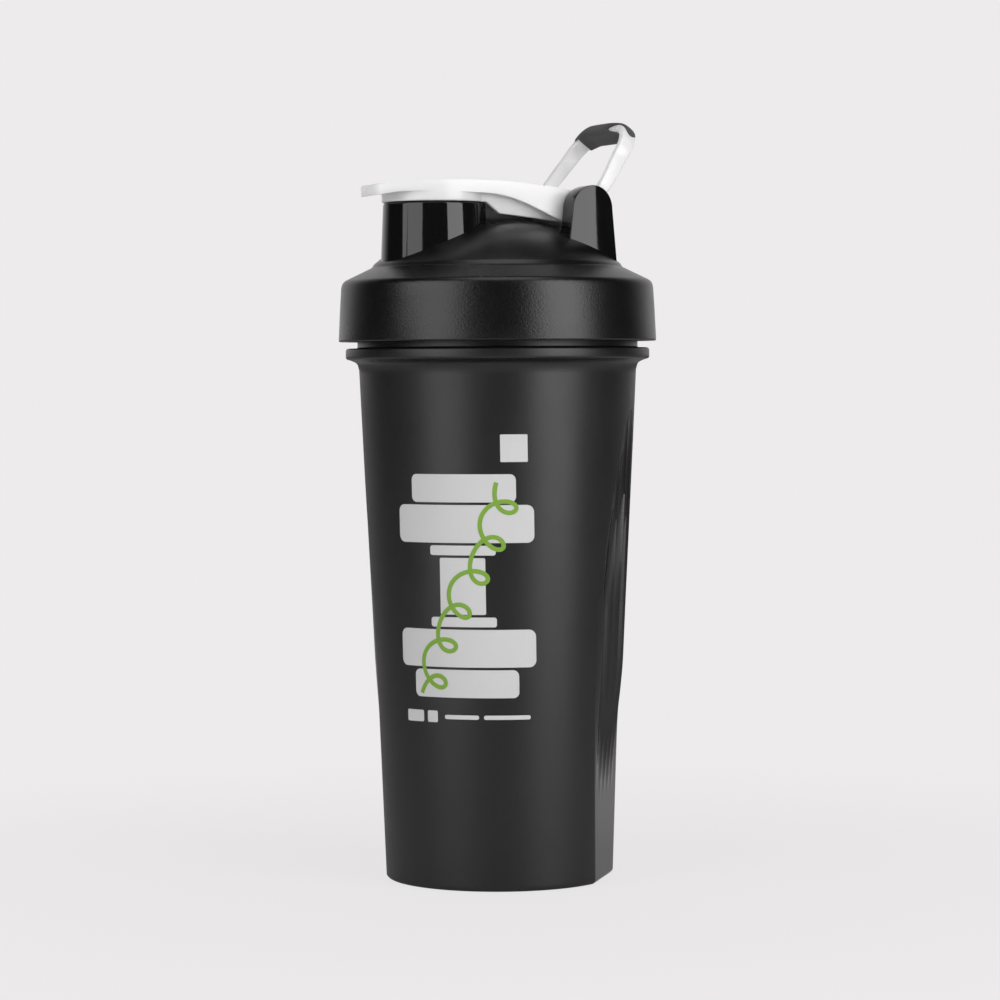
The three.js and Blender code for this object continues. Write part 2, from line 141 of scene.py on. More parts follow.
def mend(obj: Object, merge: float = MERGE) -> Object:
    """Merges doubled vertices and turns all faces outwards.

    Args:
        obj: The mesh object to mend.
        merge: Distance in millimetres under which vertices are merged.

    Returns:
        The same object.
    """
    with editing(obj):
        bpy.ops.mesh.remove_doubles(threshold=merge * MM)
        bpy.ops.mesh.normals_make_consistent(inside=False)
    return obj


def apply_modifier(obj: Object, kind: str, **settings: object) -> Object:
    """Adds one modifier to an object and applies it.

    Args:
        obj: The mesh object.
        kind: The modifier's type.
        settings: Values for the modifier's properties.

    Returns:
        The same object.
    """
    only(obj)
    modifier = obj.modifiers.new(kind.lower(), kind)
    for name, value in settings.items():
        setattr(modifier, name, value)
    bpy.ops.object.modifier_apply(modifier=modifier.name)
    return obj


def combine(obj: Object, other: Object, how: Join) -> Object:
    """Joins, cuts or crosses a solid with another, which is used up.

    Args:
        obj: The solid that is kept.
        other: The solid that is used up.
        how: The way in which they are put together.

    Returns:
        The kept solid.
    """
    apply_modifier(obj, "BOOLEAN", operation=how.value, solver="EXACT", object=other)
    bpy.data.objects.remove(other)
    return obj


def soften(obj: Object, width: float, segments: int = 3, angle: float = 32.0) -> Object:
    """Rounds every edge that is sharper than an angle.

    Args:
        obj: The mesh object.
        width: Width of the rounding in millimetres.
        segments: Faces across the rounding.
        angle: Least angle between the faces of an edge that is rounded, in degrees.

    Returns:
        The same object.
    """
    return apply_modifier(
        obj, "BEVEL", width=width * MM, segments=segments, limit_method="ANGLE",
        angle_limit=math.radians(angle), miter_outer="MITER_ARC", harden_normals=False,
    )


def smooth(obj: Object, angle: float = 40.0) -> Object:
    """Shades an object smooth, apart from edges sharper than an angle in degrees."""
    only(obj)
    bpy.ops.object.shade_smooth_by_angle(angle=math.radians(angle))
    return obj


def reshape(obj: Object, move: Callable[[Vector], Vector]) -> Object:
    """Moves every vertex of a mesh by a rule in millimetres.

    Args:
        obj: The mesh object, settled at the origin.
        move: Gives a vertex's new place from its old one.

    Returns:
        The same object.
    """
    for vertex in obj.data.vertices:
        vertex.co = move(vertex.co / MM) * MM
    obj.data.update()
    return obj


def trace(name: str, points: Sequence[Vector]) -> Object:
    """Draws a chain of edges by extruding one vertex from point to point.

    Args:
        name: Name of the new object.
        points: The corners of the chain in millimetres.

    Returns:
        A mesh object that holds the chain.
    """
    bpy.ops.object.select_all(action="DESELECT")
    bpy.ops.mesh.primitive_plane_add(size=MM, location=points[0] * MM)
    obj = bpy.context.object
    obj.name = obj.data.name = name
    with editing(obj):
        bpy.ops.mesh.merge(type="CENTER")
        for here, there in pairwise(points):
            bpy.ops.mesh.extrude_vertices_move(TRANSFORM_OT_translate={"value": (there - here) * MM})
    return settle(obj)


def turned(
    name: str,
    profile: Profile,
    arcs: Sequence[tuple[float, int]] = ((FULL_TURN, 96),),
    axis_x: float = 0.0,
    start: float = 0.0,
) -> Object:
    """Turns a profile round an upright axis, as on a lathe.

    Args:
        name: Name of the new object.
        profile: Points of radius and height. It is closed, or it ends on the axis.
        arcs: Degrees and steps of each stretch of the turn, which add up to a full circle.
        axis_x: X of the axis.
        start: Angle in degrees at which the profile is drawn first.

    Returns:
        The closed solid.
    """
    along = Vector((math.cos(math.radians(start)), math.sin(math.radians(start)), 0))
    up, axis = Vector((0, 0, 1)), Vector((axis_x, 0, 0))
    obj = trace(name, [axis + along * radius + up * height for radius, height in profile])
    with editing(obj):
        for degrees, steps in arcs:
            bpy.ops.mesh.spin(steps=steps, angle=-math.radians(degrees), center=axis * MM, axis=up)
    return mend(obj)


def slab(name: str, outline: Sequence[Vector], depth: Vector) -> Object:
    """Extrudes a flat closed outline into a solid.

    Args:
        name: Name of the new object.
        outline: Corners of the flat outline, in order.
        depth: The way and distance that the outline is extruded.

    Returns:
        The solid.
    """
    obj = trace(name, [*outline, outline[0]])
    with editing(obj):
        bpy.ops.mesh.remove_doubles(threshold=MERGE * MM)
        bpy.ops.mesh.edge_face_add()
        bpy.ops.mesh.extrude_region_move(TRANSFORM_OT_translate={"value": depth * MM})
    return mend(obj)


def wire(name: str, points: Sequence[Vector], radius: float, sides: int = 3) -> Object:
    """Bends a round wire along a chain of points.

    Args:
        name: Name of the new object.
        points: Middle line of the wire.
        radius: Radius of the wire.
        sides: Resolution of the wire's round section.

    Returns:
        The wire as a closed mesh.
    """
    obj = trace(name, points)
    only(obj)
    bpy.ops.object.convert(target="CURVE")
    obj = bpy.context.object
    obj.data.dimensions = "3D"
    obj.data.bevel_depth = radius * MM
    obj.data.bevel_resolution = sides
    obj.data.use_fill_caps = True
    bpy.ops.object.convert(target="MESH")
    obj = bpy.context.object
    obj.name = obj.data.name = name
    return mend(obj)


def pin(name: str, radius: float, from_y: float, to_y: float, x: float, z: float, sides: int = 48) -> Object:
    """Makes a round pin along Y, for joining to a piece or cutting a hole in it.

    Args:
        name: Name of the new object.
        radius: Radius of the pin.
        from_y: One end of the pin.
        to_y: The other end of the pin.
        x: X of the pin's axis.
        z: Height of the pin's axis.
        sides: Sides of the pin's section.

    Returns:
        The solid.
    """
    turns = [2 * math.pi * i / sides for i in range(sides)]
    ring = [Vector((x + radius * math.cos(t), from_y, z + radius * math.sin(t))) for t in turns]
    return slab(name, ring, Vector((0, to_y - from_y, 0)))


def rounded(corners: Sequence[tuple[float, float, float]], steps: int = 5) -> Profile:
    """Rounds the corners of a profile.

    Args:
        corners: Radius, height and length of the rounding at each corner, or 0 for a plain point.
        steps: Points across each rounding.

    Returns:
        The profile with its rounded corners.
    """
    points: Profile = []
    for i, (x, z, length) in enumerate(corners):
        if length <= 0 or i in (0, len(corners) - 1):
            points.append((x, z))
            continue
        corner = Vector((x, z))
        before = corner + (Vector(corners[i - 1][:2]) - corner).normalized() * length
        after = corner + (Vector(corners[i + 1][:2]) - corner).normalized() * length
        for k in range(steps + 1):
            share = k / steps
            point = before.lerp(corner, share).lerp(corner.lerp(after, share), share)
            points.append((point.x, point.y))
    return points


def eased(table: Sequence[Pair], steps: int = 6) -> Profile:
    """Draws a smooth line through a few points.

    Args:
        table: The points that the line passes through.
        steps: Points drawn for each stretch between two of them.

    Returns:
        The points of the smooth line.
    """
    ends = [table[0], *table, table[-1]]
    line: Profile = []
    for i in range(1, len(ends) - 2):
        a, b, c, d = (Vector(ends[i + k]) for k in (-1, 0, 1, 2))
        for k in range(steps):
            t = k / steps
            bend, twist = a * 2 - b * 5 + c * 4 - d, b * 3 - a - c * 3 + d
            point = b + (c - a) * t / 2 + bend * t**2 / 2 + twist * t**3 / 2
            line.append((point.x, point.y))
    return [*line, tuple(table[-1])]


def bezier(start: Pair, leave: Pair, arrive: Pair, end: Pair, steps: int = 18) -> Profile:
    """Draws a cubic curve.

    Args:
        start: Where the curve begins.
        leave: Point that the curve heads for as it leaves.
        arrive: Point that the curve comes from as it arrives.
        end: Where the curve ends.
        steps: Number of straight pieces.

    Returns:
        The points of the curve, with both ends.
    """
    points = []
    for i in range(steps + 1):
        t = i / steps
        shares = ((1 - t) ** 3, 3 * t * (1 - t) ** 2, 3 * t * t * (1 - t), t**3)
        pulls = (start, leave, arrive, end)
        points.append(tuple(sum(share * pull[axis] for share, pull in zip(shares, pulls)) for axis in (0, 1)))
    return points


def interpolate(table: Sequence[Pair], x: float) -> float:
    """Reads a value between the rows of a table that rises in its first column."""
    for (x0, y0), (x1, y1) in pairwise(table):
        if x <= x1:
            return y0 + (y1 - y0) * (x - x0) / (x1 - x0)
    return table[-1][1]


def smoothstep(x: float, low: float, high: float) -> float:
    """Eases from 0 at the low end to 1 at the high end."""
    share = min(1.0, max(0.0, (x - low) / (high - low)))
    return share * share * (3 - 2 * share)


def at_radius(point: Vector, radius: float) -> Vector:
    """Moves a point to another distance from the upright axis, at its own height and angle."""
    share = radius / math.hypot(point.x, point.y)
    return Vector((point.x * share, point.y * share, point.z))


def wrapped(around: float, height: float, radius: float) -> Vector:
    """Point on an upright round wall, from its angle in degrees, height and radius."""
    turn = math.radians(around)
    return Vector((radius * math.cos(turn), radius * math.sin(turn), height))


# ---------------------------------------------------------------------------------------------
# Finishes
# ---------------------------------------------------------------------------------------------


class Nodes:
    """Node tree under construction, with short ways to add and link nodes."""

    def __init__(self, tree: bpy.types.NodeTree) -> None:
        """Starts an empty tree."""
        self.tree = tree
        tree.nodes.clear()

    def add(self, kind: str, **settings: object) -> bpy.types.Node:
        """Adds a node.

        Args:
            kind: Node type without the ShaderNode prefix, or the whole type.
            settings: Properties of the node.

        Returns:
            The new node.
        """
        node = self.tree.nodes.new(kind if kind.startswith("Node") else f"ShaderNode{kind}")
        for name, value in settings.items():
            setattr(node, name, value)
        return node

    def link(self, source: Socket, target: Socket) -> None:
        """Links an output to an input."""
        self.tree.links.new(source, target)

    def noise(self, place: Socket, scale: float, detail: float = 2.0, rough: float = 0.5) -> Socket:
        """Adds a noise texture and returns its value.

        Args:
            place: Coordinates that the noise is read at.
            scale: Features per metre.
            detail: Octaves of the noise.
            rough: How strong each finer octave is.

        Returns:
            The noise value from 0 to 1.
        """
        node = self.add("TexNoise")
        node.inputs["Scale"].default_value = scale
        node.inputs["Detail"].default_value = detail
        node.inputs["Roughness"].default_value = rough
        self.link(place, node.inputs["Vector"])
        return node.outputs[0]

    def ramp(self, value: Socket, low: float, high: float, to: Pair = (0.0, 1.0)) -> Socket:
        """Maps a range of a value smoothly to another range.

        Args:
            value: The value to map.
            low: Value that gives the first end of the new range.
            high: Value that gives the second end of the new range.
            to: The new range.

        Returns:
            The mapped value.
        """
        node = self.add("MapRange", interpolation_type="SMOOTHSTEP")
        for name, number in zip(("From Min", "From Max", "To Min", "To Max"), (low, high, *to)):
            node.inputs[name].default_value = number
        self.link(value, node.inputs["Value"])
        return node.outputs["Result"]

    def sum(self, a: Socket, b: Socket | float, how: Sum = Sum.PLUS) -> Socket:
        """Combines two values.

        Args:
            a: First value.
            b: Second value, a socket or a number.
            how: The arithmetic.

        Returns:
            The result.
        """
        node = self.add("Math", operation=how.value)
        self.link(a, node.inputs[0])
        if isinstance(b, (int, float)):
            node.inputs[1].default_value = b
        else:
            self.link(b, node.inputs[1])
        return node.outputs[0]


def effect(name: str, inputs: dict[str, float], outputs: Sequence[str]) -> tuple[Nodes, dict, bpy.types.Node]:
    """Starts a shared effect as a node group.

    Args:
        name: Name of the group.
        inputs: Named number inputs with their defaults.
        outputs: Named number outputs.

    Returns:
        The node tree, its inputs by name and its output node.
    """
    tree = bpy.data.node_groups.new(name, "ShaderNodeTree")
    for title, value in inputs.items():
        tree.interface.new_socket(title, in_out="INPUT", socket_type="NodeSocketFloat").default_value = value
    for title in outputs:
        tree.interface.new_socket(title, in_out="OUTPUT", socket_type="NodeSocketFloat")
    nodes = Nodes(tree)
    entry, leave = nodes.add("NodeGroupInput"), nodes.add("NodeGroupOutput")
    return nodes, dict(entry.outputs.items()), leave


def make_moulded_grain() -> bpy.types.NodeTree:
    """Builds the fine spark-eroded skin that a mould leaves on plastic.

    Returns:
        A group with the grain's height and a slow mottle of the surface.
    """
    nodes, given, leave = effect("moulded grain", {"Grains per metre": 1800.0}, ("Height", "Mottle"))
    place = nodes.add("TexCoord").outputs["Object"]
    fine = nodes.add("TexNoise")
    fine.inputs["Detail"].default_value = 3.0
    fine.inputs["Roughness"].default_value = 0.62
    nodes.link(place, fine.inputs["Vector"])
    nodes.link(given["Grains per metre"], fine.inputs["Scale"])
    pits = nodes.add("TexVoronoi", feature="SMOOTH_F1")
    nodes.link(place, pits.inputs["Vector"])
    nodes.link(nodes.sum(given["Grains per metre"], 0.8, Sum.TIMES), pits.inputs["Scale"])
    grains = nodes.sum(fine.outputs[0], 0.65, Sum.TIMES)
    deep = nodes.sum(pits.outputs["Distance"], 0.35, Sum.TIMES)
    nodes.link(nodes.sum(grains, deep), leave.inputs["Height"])
    nodes.link(nodes.ramp(nodes.noise(place, 45.0, 3.0), 0.3, 0.7), leave.inputs["Mottle"])
    return nodes.tree


def make_handling_marks() -> bpy.types.NodeTree:
    """Builds the faint wipes and rub marks that handling leaves.

    Returns:
        A group with a mask that is 1 where the surface is rubbed smooth, and one for hairline scuffs.
    """
    nodes, given, leave = effect("handling marks", {"Amount": 0.3}, ("Rubbed", "Scuffs"))
    place = nodes.add("TexCoord").outputs["Object"]
    rubbed = nodes.ramp(nodes.noise(place, 28.0, 4.0, 0.6), 0.48, 0.72)
    nodes.link(nodes.sum(rubbed, given["Amount"], Sum.TIMES), leave.inputs["Rubbed"])
    stretch = nodes.add("Mapping")
    stretch.inputs["Rotation"].default_value = (0.3, 0.2, 0.5)
    stretch.inputs["Scale"].default_value = (1.0, 1.0, 0.08)
    nodes.link(place, stretch.inputs["Vector"])
    hairs = nodes.ramp(nodes.noise(stretch.outputs["Vector"], 900.0, 2.0, 0.7), 0.66, 0.78)
    nodes.link(nodes.sum(hairs, given["Amount"], Sum.TIMES), leave.inputs["Scuffs"])
    return nodes.tree


def make_edge_wear() -> bpy.types.NodeTree:
    """Builds the polish that edges take from use.

    Returns:
        A group with a mask that is 1 along outer edges.
    """
    nodes, given, leave = effect("edge wear", {"Amount": 0.5}, ("Worn",))
    place = nodes.add("TexCoord").outputs["Object"]
    sharp = nodes.ramp(nodes.add("NewGeometry").outputs["Pointiness"], 0.53, 0.62)
    patchy = nodes.ramp(nodes.noise(place, 130.0, 3.0), 0.35, 0.65, (0.35, 1.0))
    worn = nodes.sum(sharp, patchy, Sum.TIMES)
    nodes.link(nodes.sum(worn, given["Amount"], Sum.TIMES), leave.inputs["Worn"])
    return nodes.tree


def make_settled_dust() -> bpy.types.NodeTree:
    """Builds the trace of dust that lies on faces that look up.

    Returns:
        A group with the mask of the dust.
    """
    nodes, given, leave = effect("settled dust", {"Amount": 0.1}, ("Dust",))
    place = nodes.add("TexCoord").outputs["Object"]
    split = nodes.add("SeparateXYZ")
    nodes.link(nodes.add("NewGeometry").outputs["Normal"], split.inputs[0])
    upward = nodes.ramp(split.outputs["Z"], 0.55, 1.0)
    specks = nodes.ramp(nodes.noise(place, 700.0, 3.0, 0.7), 0.5, 0.75)
    lying = nodes.sum(upward, specks, Sum.TIMES)
    nodes.link(nodes.sum(lying, given["Amount"], Sum.TIMES), leave.inputs["Dust"])
    return nodes.tree


@dataclass(frozen=True)
class Finish:
    """Moulded, rubber, metal or printed finish, with the numbers that make it differ.

    Colours are linear red, green and blue.
    """

    name: str
    colour: Colour
    worn_colour: Colour
    roughness: float
    grain_size: float = 0.55
    grain_depth: float = 0.0
    specular: float = 0.5
    metallic: float = 0.0
    polish: float = 0.0
    subsurface: float = 0.0
    marks: float = 0.3
    wear: float = 0.4
    dust: float = 0.05
    dust_colour: Colour = (0.35, 0.34, 0.33)


FINE_SATIN = Finish("fine satin black", (0.0045, 0.0045, 0.0048), (0.02, 0.02, 0.021), 0.37,
                    grain_size=0.45, grain_depth=0.035, wear=0.35, dust=0.02, polish=0.75)
SPARK_BLACK = Finish("spark textured black", (0.0014, 0.0014, 0.0016), (0.012, 0.012, 0.013), 0.29,
                     grain_size=0.5, grain_depth=0.08, wear=0.35, dust=0.02)
GLOSS_BLACK = Finish("gloss black", (0.004, 0.004, 0.0044), (0.012, 0.012, 0.012), 0.06,
                     grain_size=1.5, grain_depth=0.004, wear=0.2, dust=0.01, marks=0.15)
GLOSS_WHITE = Finish("gloss white", (0.85, 0.85, 0.846), (0.86, 0.86, 0.85), 0.26,
                     grain_size=1.2, grain_depth=0.012, subsurface=0.6, wear=0.15, dust=0.0)
SOFT_RUBBER = Finish("soft touch rubber", (0.07, 0.07, 0.072), (0.12, 0.12, 0.12), 0.58,
                     grain_size=0.5, grain_depth=0.09, specular=0.45, wear=0.5, dust=0.05)
SILICONE = Finish("grey silicone", (0.55, 0.57, 0.58), (0.62, 0.63, 0.64), 0.48,
                  grain_size=0.8, grain_depth=0.03, subsurface=0.35, wear=0.2, dust=0.05)
DRAWN_STEEL = Finish("drawn steel wire", (0.56, 0.56, 0.57), (0.75, 0.75, 0.76), 0.22,
                     grain_size=0.3, grain_depth=0.03, metallic=1.0, wear=0.3, dust=0.0)
GREY_INK = Finish("light grey ink", (0.62, 0.62, 0.62), (0.48, 0.48, 0.48), 0.55,
                  grain_size=0.45, grain_depth=0.05, specular=0.3, wear=0.0, dust=0.0, marks=0.5)
GREEN_INK = Finish("green ink", (0.20, 0.37, 0.045), (0.15, 0.28, 0.03), 0.55,
                   grain_size=0.45, grain_depth=0.05, specular=0.3, wear=0.0, dust=0.0, marks=0.5)


class Paintshop:
    """Builds each finish once, from the effects that they share."""

    def __init__(self) -> None:
        """Builds the shared effects."""
        self.grain = make_moulded_grain()
        self.marks = make_handling_marks()
        self.edges = make_edge_wear()
        self.dust = make_settled_dust()
        self.made: dict[str, Material] = {}

    def place(self, nodes: Nodes, group: bpy.types.NodeTree, value: float) -> bpy.types.Node:
        """Places a shared effect in a material.

        Args:
            nodes: The material's node tree.
            group: The effect.
            value: Number for the effect's only input.

        Returns:
            The group's node.
        """
        node = nodes.add("Group", node_tree=group)
        node.inputs[0].default_value = value
        return node

    def finish(self, recipe: Finish) -> Material:
        """Gives the material of a finish, made the first time that it is asked for.

        Args:
            recipe: The finish.

        Returns:
            The material.
        """
        if recipe.name in self.made:
            return self.made[recipe.name]
        material = bpy.data.materials.new(recipe.name)
        material.use_nodes = True
        nodes = Nodes(material.node_tree)
        shader = nodes.add("BsdfPrincipled")
        nodes.link(shader.outputs[0], nodes.add("OutputMaterial").inputs["Surface"])
        grain = self.place(nodes, self.grain, 1000.0 / recipe.grain_size)
        marks = self.place(nodes, self.marks, recipe.marks)
        edges = self.place(nodes, self.edges, recipe.wear)
        dust = self.place(nodes, self.dust, recipe.dust)

        scuffed = nodes.sum(marks.outputs["Scuffs"], 0.4, Sum.TIMES)
        worn = nodes.sum(edges.outputs["Worn"], scuffed, Sum.LARGER)
        mottled = nodes.sum(worn, nodes.sum(grain.outputs["Mottle"], 0.06, Sum.TIMES))
        colour = self.blend(nodes, mottled, recipe.colour, recipe.worn_colour)
        colour = self.blend(nodes, dust.outputs["Dust"], colour, recipe.dust_colour)
        nodes.link(colour, shader.inputs["Base Color"])

        drift = nodes.sum(nodes.sum(grain.outputs["Mottle"], 0.05, Sum.TIMES), recipe.roughness - 0.02)
        rubbed = nodes.sum(drift, nodes.sum(marks.outputs["Rubbed"], -0.16 * recipe.roughness, Sum.TIMES))
        dusty = nodes.sum(rubbed, nodes.sum(dust.outputs["Dust"], 0.4, Sum.TIMES))
        depth = grain.outputs["Height"]
        if recipe.polish:
            polished = nodes.add("Attribute", attribute_name=POLISH).outputs["Fac"]
            keep = nodes.ramp(polished, 0.0, 1.0, (1.0, 1.0 - recipe.polish))
            dusty = nodes.sum(dusty, keep, Sum.TIMES)
            depth = nodes.sum(depth, keep, Sum.TIMES)
        nodes.link(dusty, shader.inputs["Roughness"])

        bump = nodes.add("Bump")
        bump.inputs["Distance"].default_value = recipe.grain_depth * MM
        nodes.link(depth, bump.inputs["Height"])
        nodes.link(bump.outputs["Normal"], shader.inputs["Normal"])

        shader.inputs["Specular IOR Level"].default_value = recipe.specular
        shader.inputs["Metallic"].default_value = recipe.metallic
        shader.inputs["Subsurface Weight"].default_value = recipe.subsurface
        shader.inputs["Subsurface Scale"].default_value = 0.003
        shader.inputs["Subsurface Radius"].default_value = (1.0, 1.0, 1.0)
        self.made[recipe.name] = material
        return material

    def blend(self, nodes: Nodes, mask: Socket, under: Socket | Colour, over: Colour) -> Socket:
        """Mixes two colours by a mask.

        Args:
            nodes: The material's node tree.
            mask: 0 shows the first colour and 1 the second.
            under: The first colour, or a socket that gives it.
            over: The second colour.

        Returns:
            The mixed colour.
        """
        mix = nodes.add("Mix", data_type="RGBA")
        nodes.link(mask, mix.inputs[0])
        if isinstance(under, tuple):
            mix.inputs[6].default_value = (*under, 1.0)
        else:
            nodes.link(under, mix.inputs[6])
        mix.inputs[7].default_value = (*over, 1.0)
        return mix.outputs[2]


def deliver(obj: Object, paint: Material, body: Body, slot: Slot, *stands_for: str) -> Object:
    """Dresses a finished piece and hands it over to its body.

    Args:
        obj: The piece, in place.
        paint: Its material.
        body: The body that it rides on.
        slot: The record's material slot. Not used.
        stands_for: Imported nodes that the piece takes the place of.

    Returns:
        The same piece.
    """
    obj.data.materials.clear()
    obj.data.materials.append(paint)
    for polygon in obj.data.polygons:
        polygon.material_index = 0
    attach(obj, body.value)
    if stands_for:
        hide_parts(*stands_for)
    obj.data.calc_loop_triangles()
    log.info("%s on %s: %d triangles", obj.name, body.value, len(obj.data.loop_triangles))
    return obj


# ---------------------------------------------------------------------------------------------
# Shared shapes
# ---------------------------------------------------------------------------------------------


@dataclass(frozen=True)
class ScrewThread:
    """Single-start screw thread with a trapezoid section, right-handed."""

    wall_radius: float
    side: int
    first_z: float
    pitch: float = 5.0
    turns: float = 1.25
    depth: float = 2.0
    root: float = 1.15
    crest: float = 0.75
    bite: float = 0.4

    def build(self, name: str) -> Object:
        """Winds the thread's section up the axis.

        Args:
            name: Name of the new object.

        Returns:
            The thread as a closed solid.
        """
        foot, tip = self.wall_radius - self.side * self.bite, self.wall_radius + self.side * self.depth
        nose = 0.25 * self.side
        section = [(foot, -self.root), (tip - nose, -self.crest), (tip, -self.crest + 0.3),
                   (tip, self.crest - 0.3), (tip - nose, self.crest), (foot, self.root)]
        corners = [Vector((radius, 0, self.first_z + height)) for radius, height in section]
        obj = trace(name, [*corners, corners[0]])
        with editing(obj):
            bpy.ops.mesh.remove_doubles(threshold=MERGE * MM)
        apply_modifier(
            obj, "SCREW", axis="Z", angle=2 * math.pi * self.turns, screw_offset=self.pitch * self.turns * MM,
            steps=120, render_steps=120, iterations=1, use_smooth_shade=True,
        )
        with editing(obj):
            bpy.ops.mesh.fill_holes(sides=len(section))
        return smooth(mend(obj))


# ---------------------------------------------------------------------------------------------
# Cup
# ---------------------------------------------------------------------------------------------


@dataclass
class Cup:
    """Tapered cup with two fluted grip panels, a neck ring and a threaded neck."""

    base_radius: float = 36.2
    taper: float = 0.0468
    wall: float = 2.0
    wall_top: float = 160.5
    foot_radius: float = 30.5
    recess: float = 1.0
    floor_top: float = 3.2
    neck_radius: float = 44.2
    neck_bore: float = 42.2
    ring_radius: float = 47.9
    ring_bottom: float = 163.6
    ring_top: float = 167.3
    rim_z: float = 185.2
    thread_z: float = 173.2
    panel_turn: float = -39.0
    panel_span: float = 60.0
    panel_top: float = 150.5
    panel_depths: tuple[Pair, ...] = (
        (0, 33.8), (30, 34.3), (55, 34.8), (87, 36.2), (112, 39.0), (150.5, 43.4),
    )
    flutes: int = 5
    flute_pitch: float = 9.0
    ridges: Pair = (24.0, 71.0)
    rim_softness: float = 0.012
    row_height: float = 1.3

    def cone(self, z: float) -> float:
        """Radius of the plain wall at a height."""
        return self.base_radius + self.taper * z

    def off_panel(self, point: Vector) -> float:
        """Angle in degrees from the middle of the nearer grip panel to a point."""
        return (math.degrees(math.atan2(point.y, point.x)) - self.panel_turn + 90) % 180 - 90

    def flat(self, turned_by: float, z: float, inset: float) -> float:
        """Radius of a panel's flat at an angle from its middle."""
        return (interpolate(self.panel_depths, z) - inset) / math.cos(math.radians(turned_by))

    def pressed(self, point: Vector) -> Vector:
        """Presses the grip panels into the wall.

        Args:
            point: A point of the plain turned cup.

        Returns:
            Where the point lies on the finished cup.
        """
        radius = math.hypot(point.x, point.y)
        if point.z > self.panel_top + 4 or radius < self.foot_radius + 0.5:
            return point
        turned_by = self.off_panel(point)
        wall = self.cone(point.z)
        if radius < wall - self.wall + 0.3 and point.z > self.floor_top - 0.1:
            return at_radius(point, min(radius, self.flat(turned_by, point.z, self.wall)))
        depth = wall - self.flat(turned_by, point.z, 0.0)
        depth = (depth + math.sqrt(depth * depth + self.rim_softness)) / 2 if depth > -1 else 0.0
        across = turned_by / self.flute_pitch + self.flutes / 2
        valley = abs(math.sin(across * math.pi)) if 0 < across < self.flutes else 0.0
        rise = smoothstep(point.z, *self.ridges) * (1 - valley**0.9)
        edge = smoothstep(self.panel_span / 2 - abs(turned_by), 0.0, 1.5)
        return at_radius(point, radius - depth * (1 - rise) * edge)

    def polish(self, obj: Object) -> None:
        """Marks the grip panels, whose part of the mould is polished.

        Args:
            obj: The finished cup.
        """
        marks = obj.data.attributes.new(POLISH, "FLOAT", "POINT")
        for vertex, mark in zip(obj.data.vertices, marks.data):
            point = vertex.co / MM
            radius, turned_by = math.hypot(point.x, point.y), self.off_panel(point)
            wall = self.cone(point.z)
            outside = radius > max(wall - 8, self.foot_radius + 1) and point.z < self.panel_top
            depth = wall - self.flat(turned_by, point.z, 0.0)
            mark.value = smoothstep(depth, -0.08, 0.08) if outside else 0.0

    def profile(self) -> Profile:
        """Draws the outside and inside of the cup from the middle of its base to its floor."""
        outside = [(self.cone(z), z) for z in self.rows(2.6, self.wall_top)]
        foot = rounded([
            (0, self.recess, 0), (self.foot_radius - 1.2, self.recess, 1.0), (self.foot_radius, 0, 0.8),
            (self.cone(0) - 0.9, 0, 0.6), (self.cone(0.9), 0.9, 0.6), (self.cone(2.2), 2.2, 0),
        ])
        neck = rounded([
            (self.cone(self.wall_top), self.wall_top, 0), (44.3, 162.6, 0.8), (46.4, self.ring_bottom, 0.9),
            (self.ring_radius, self.ring_bottom + 0.3, 0.8), (self.ring_radius, self.ring_top, 1.0),
            (self.neck_radius, self.ring_top, 0.5), (self.neck_radius, self.rim_z, 0.5),
            (self.neck_bore, self.rim_z, 0.5), (self.neck_bore, 164.5, 1.5),
            (self.cone(self.wall_top) - self.wall, self.wall_top, 0),
        ])[1:]
        inside = [(self.cone(z) - self.wall, z) for z in self.rows(10.0, self.wall_top, 6.0)[::-1][1:]]
        floor = rounded([(self.cone(10) - self.wall, 10, 0), (self.cone(4) - self.wall, self.floor_top, 3.5),
                         (0, self.floor_top, 0)])[1:]
        return [*foot, *outside, *neck, *inside, *floor]

    def rows(self, low: float, high: float, spacing: float | None = None) -> list[float]:
        """Heights from low to high, evenly spaced."""
        count = round((high - low) / (spacing or self.row_height))
        return [low + (high - low) * i / count for i in range(count + 1)]

    def build(self, paint: Paintshop) -> None:
        """Builds the cup and its thread.

        Args:
            paint: Where the finishes are made.
        """
        half = self.panel_span / 2
        fine, coarse = (self.panel_span, 128), (180 - self.panel_span, 44)
        body = turned("cup_body", self.profile(), (fine, coarse, fine, coarse), start=self.panel_turn - half)
        self.polish(reshape(body, self.pressed))
        deliver(smooth(body, 50), paint.finish(FINE_SATIN), Body.CUP, Slot.CUP, "cup")
        screw = ScrewThread(self.neck_radius, 1, self.thread_z).build("cup_thread")
        deliver(screw, paint.finish(FINE_SATIN), Body.CUP, Slot.CUP)


# ---------------------------------------------------------------------------------------------
# Print on the cup
# ---------------------------------------------------------------------------------------------


@dataclass(frozen=True)
class Patch:
    """Rectangle of ink with rounded ends, from its middle and size, wrapped round the cup.

    Across is measured along the wall and up along the axis.
    """

    across: float
    up: float
    width: float
    height: float
    corner: float = 1.2


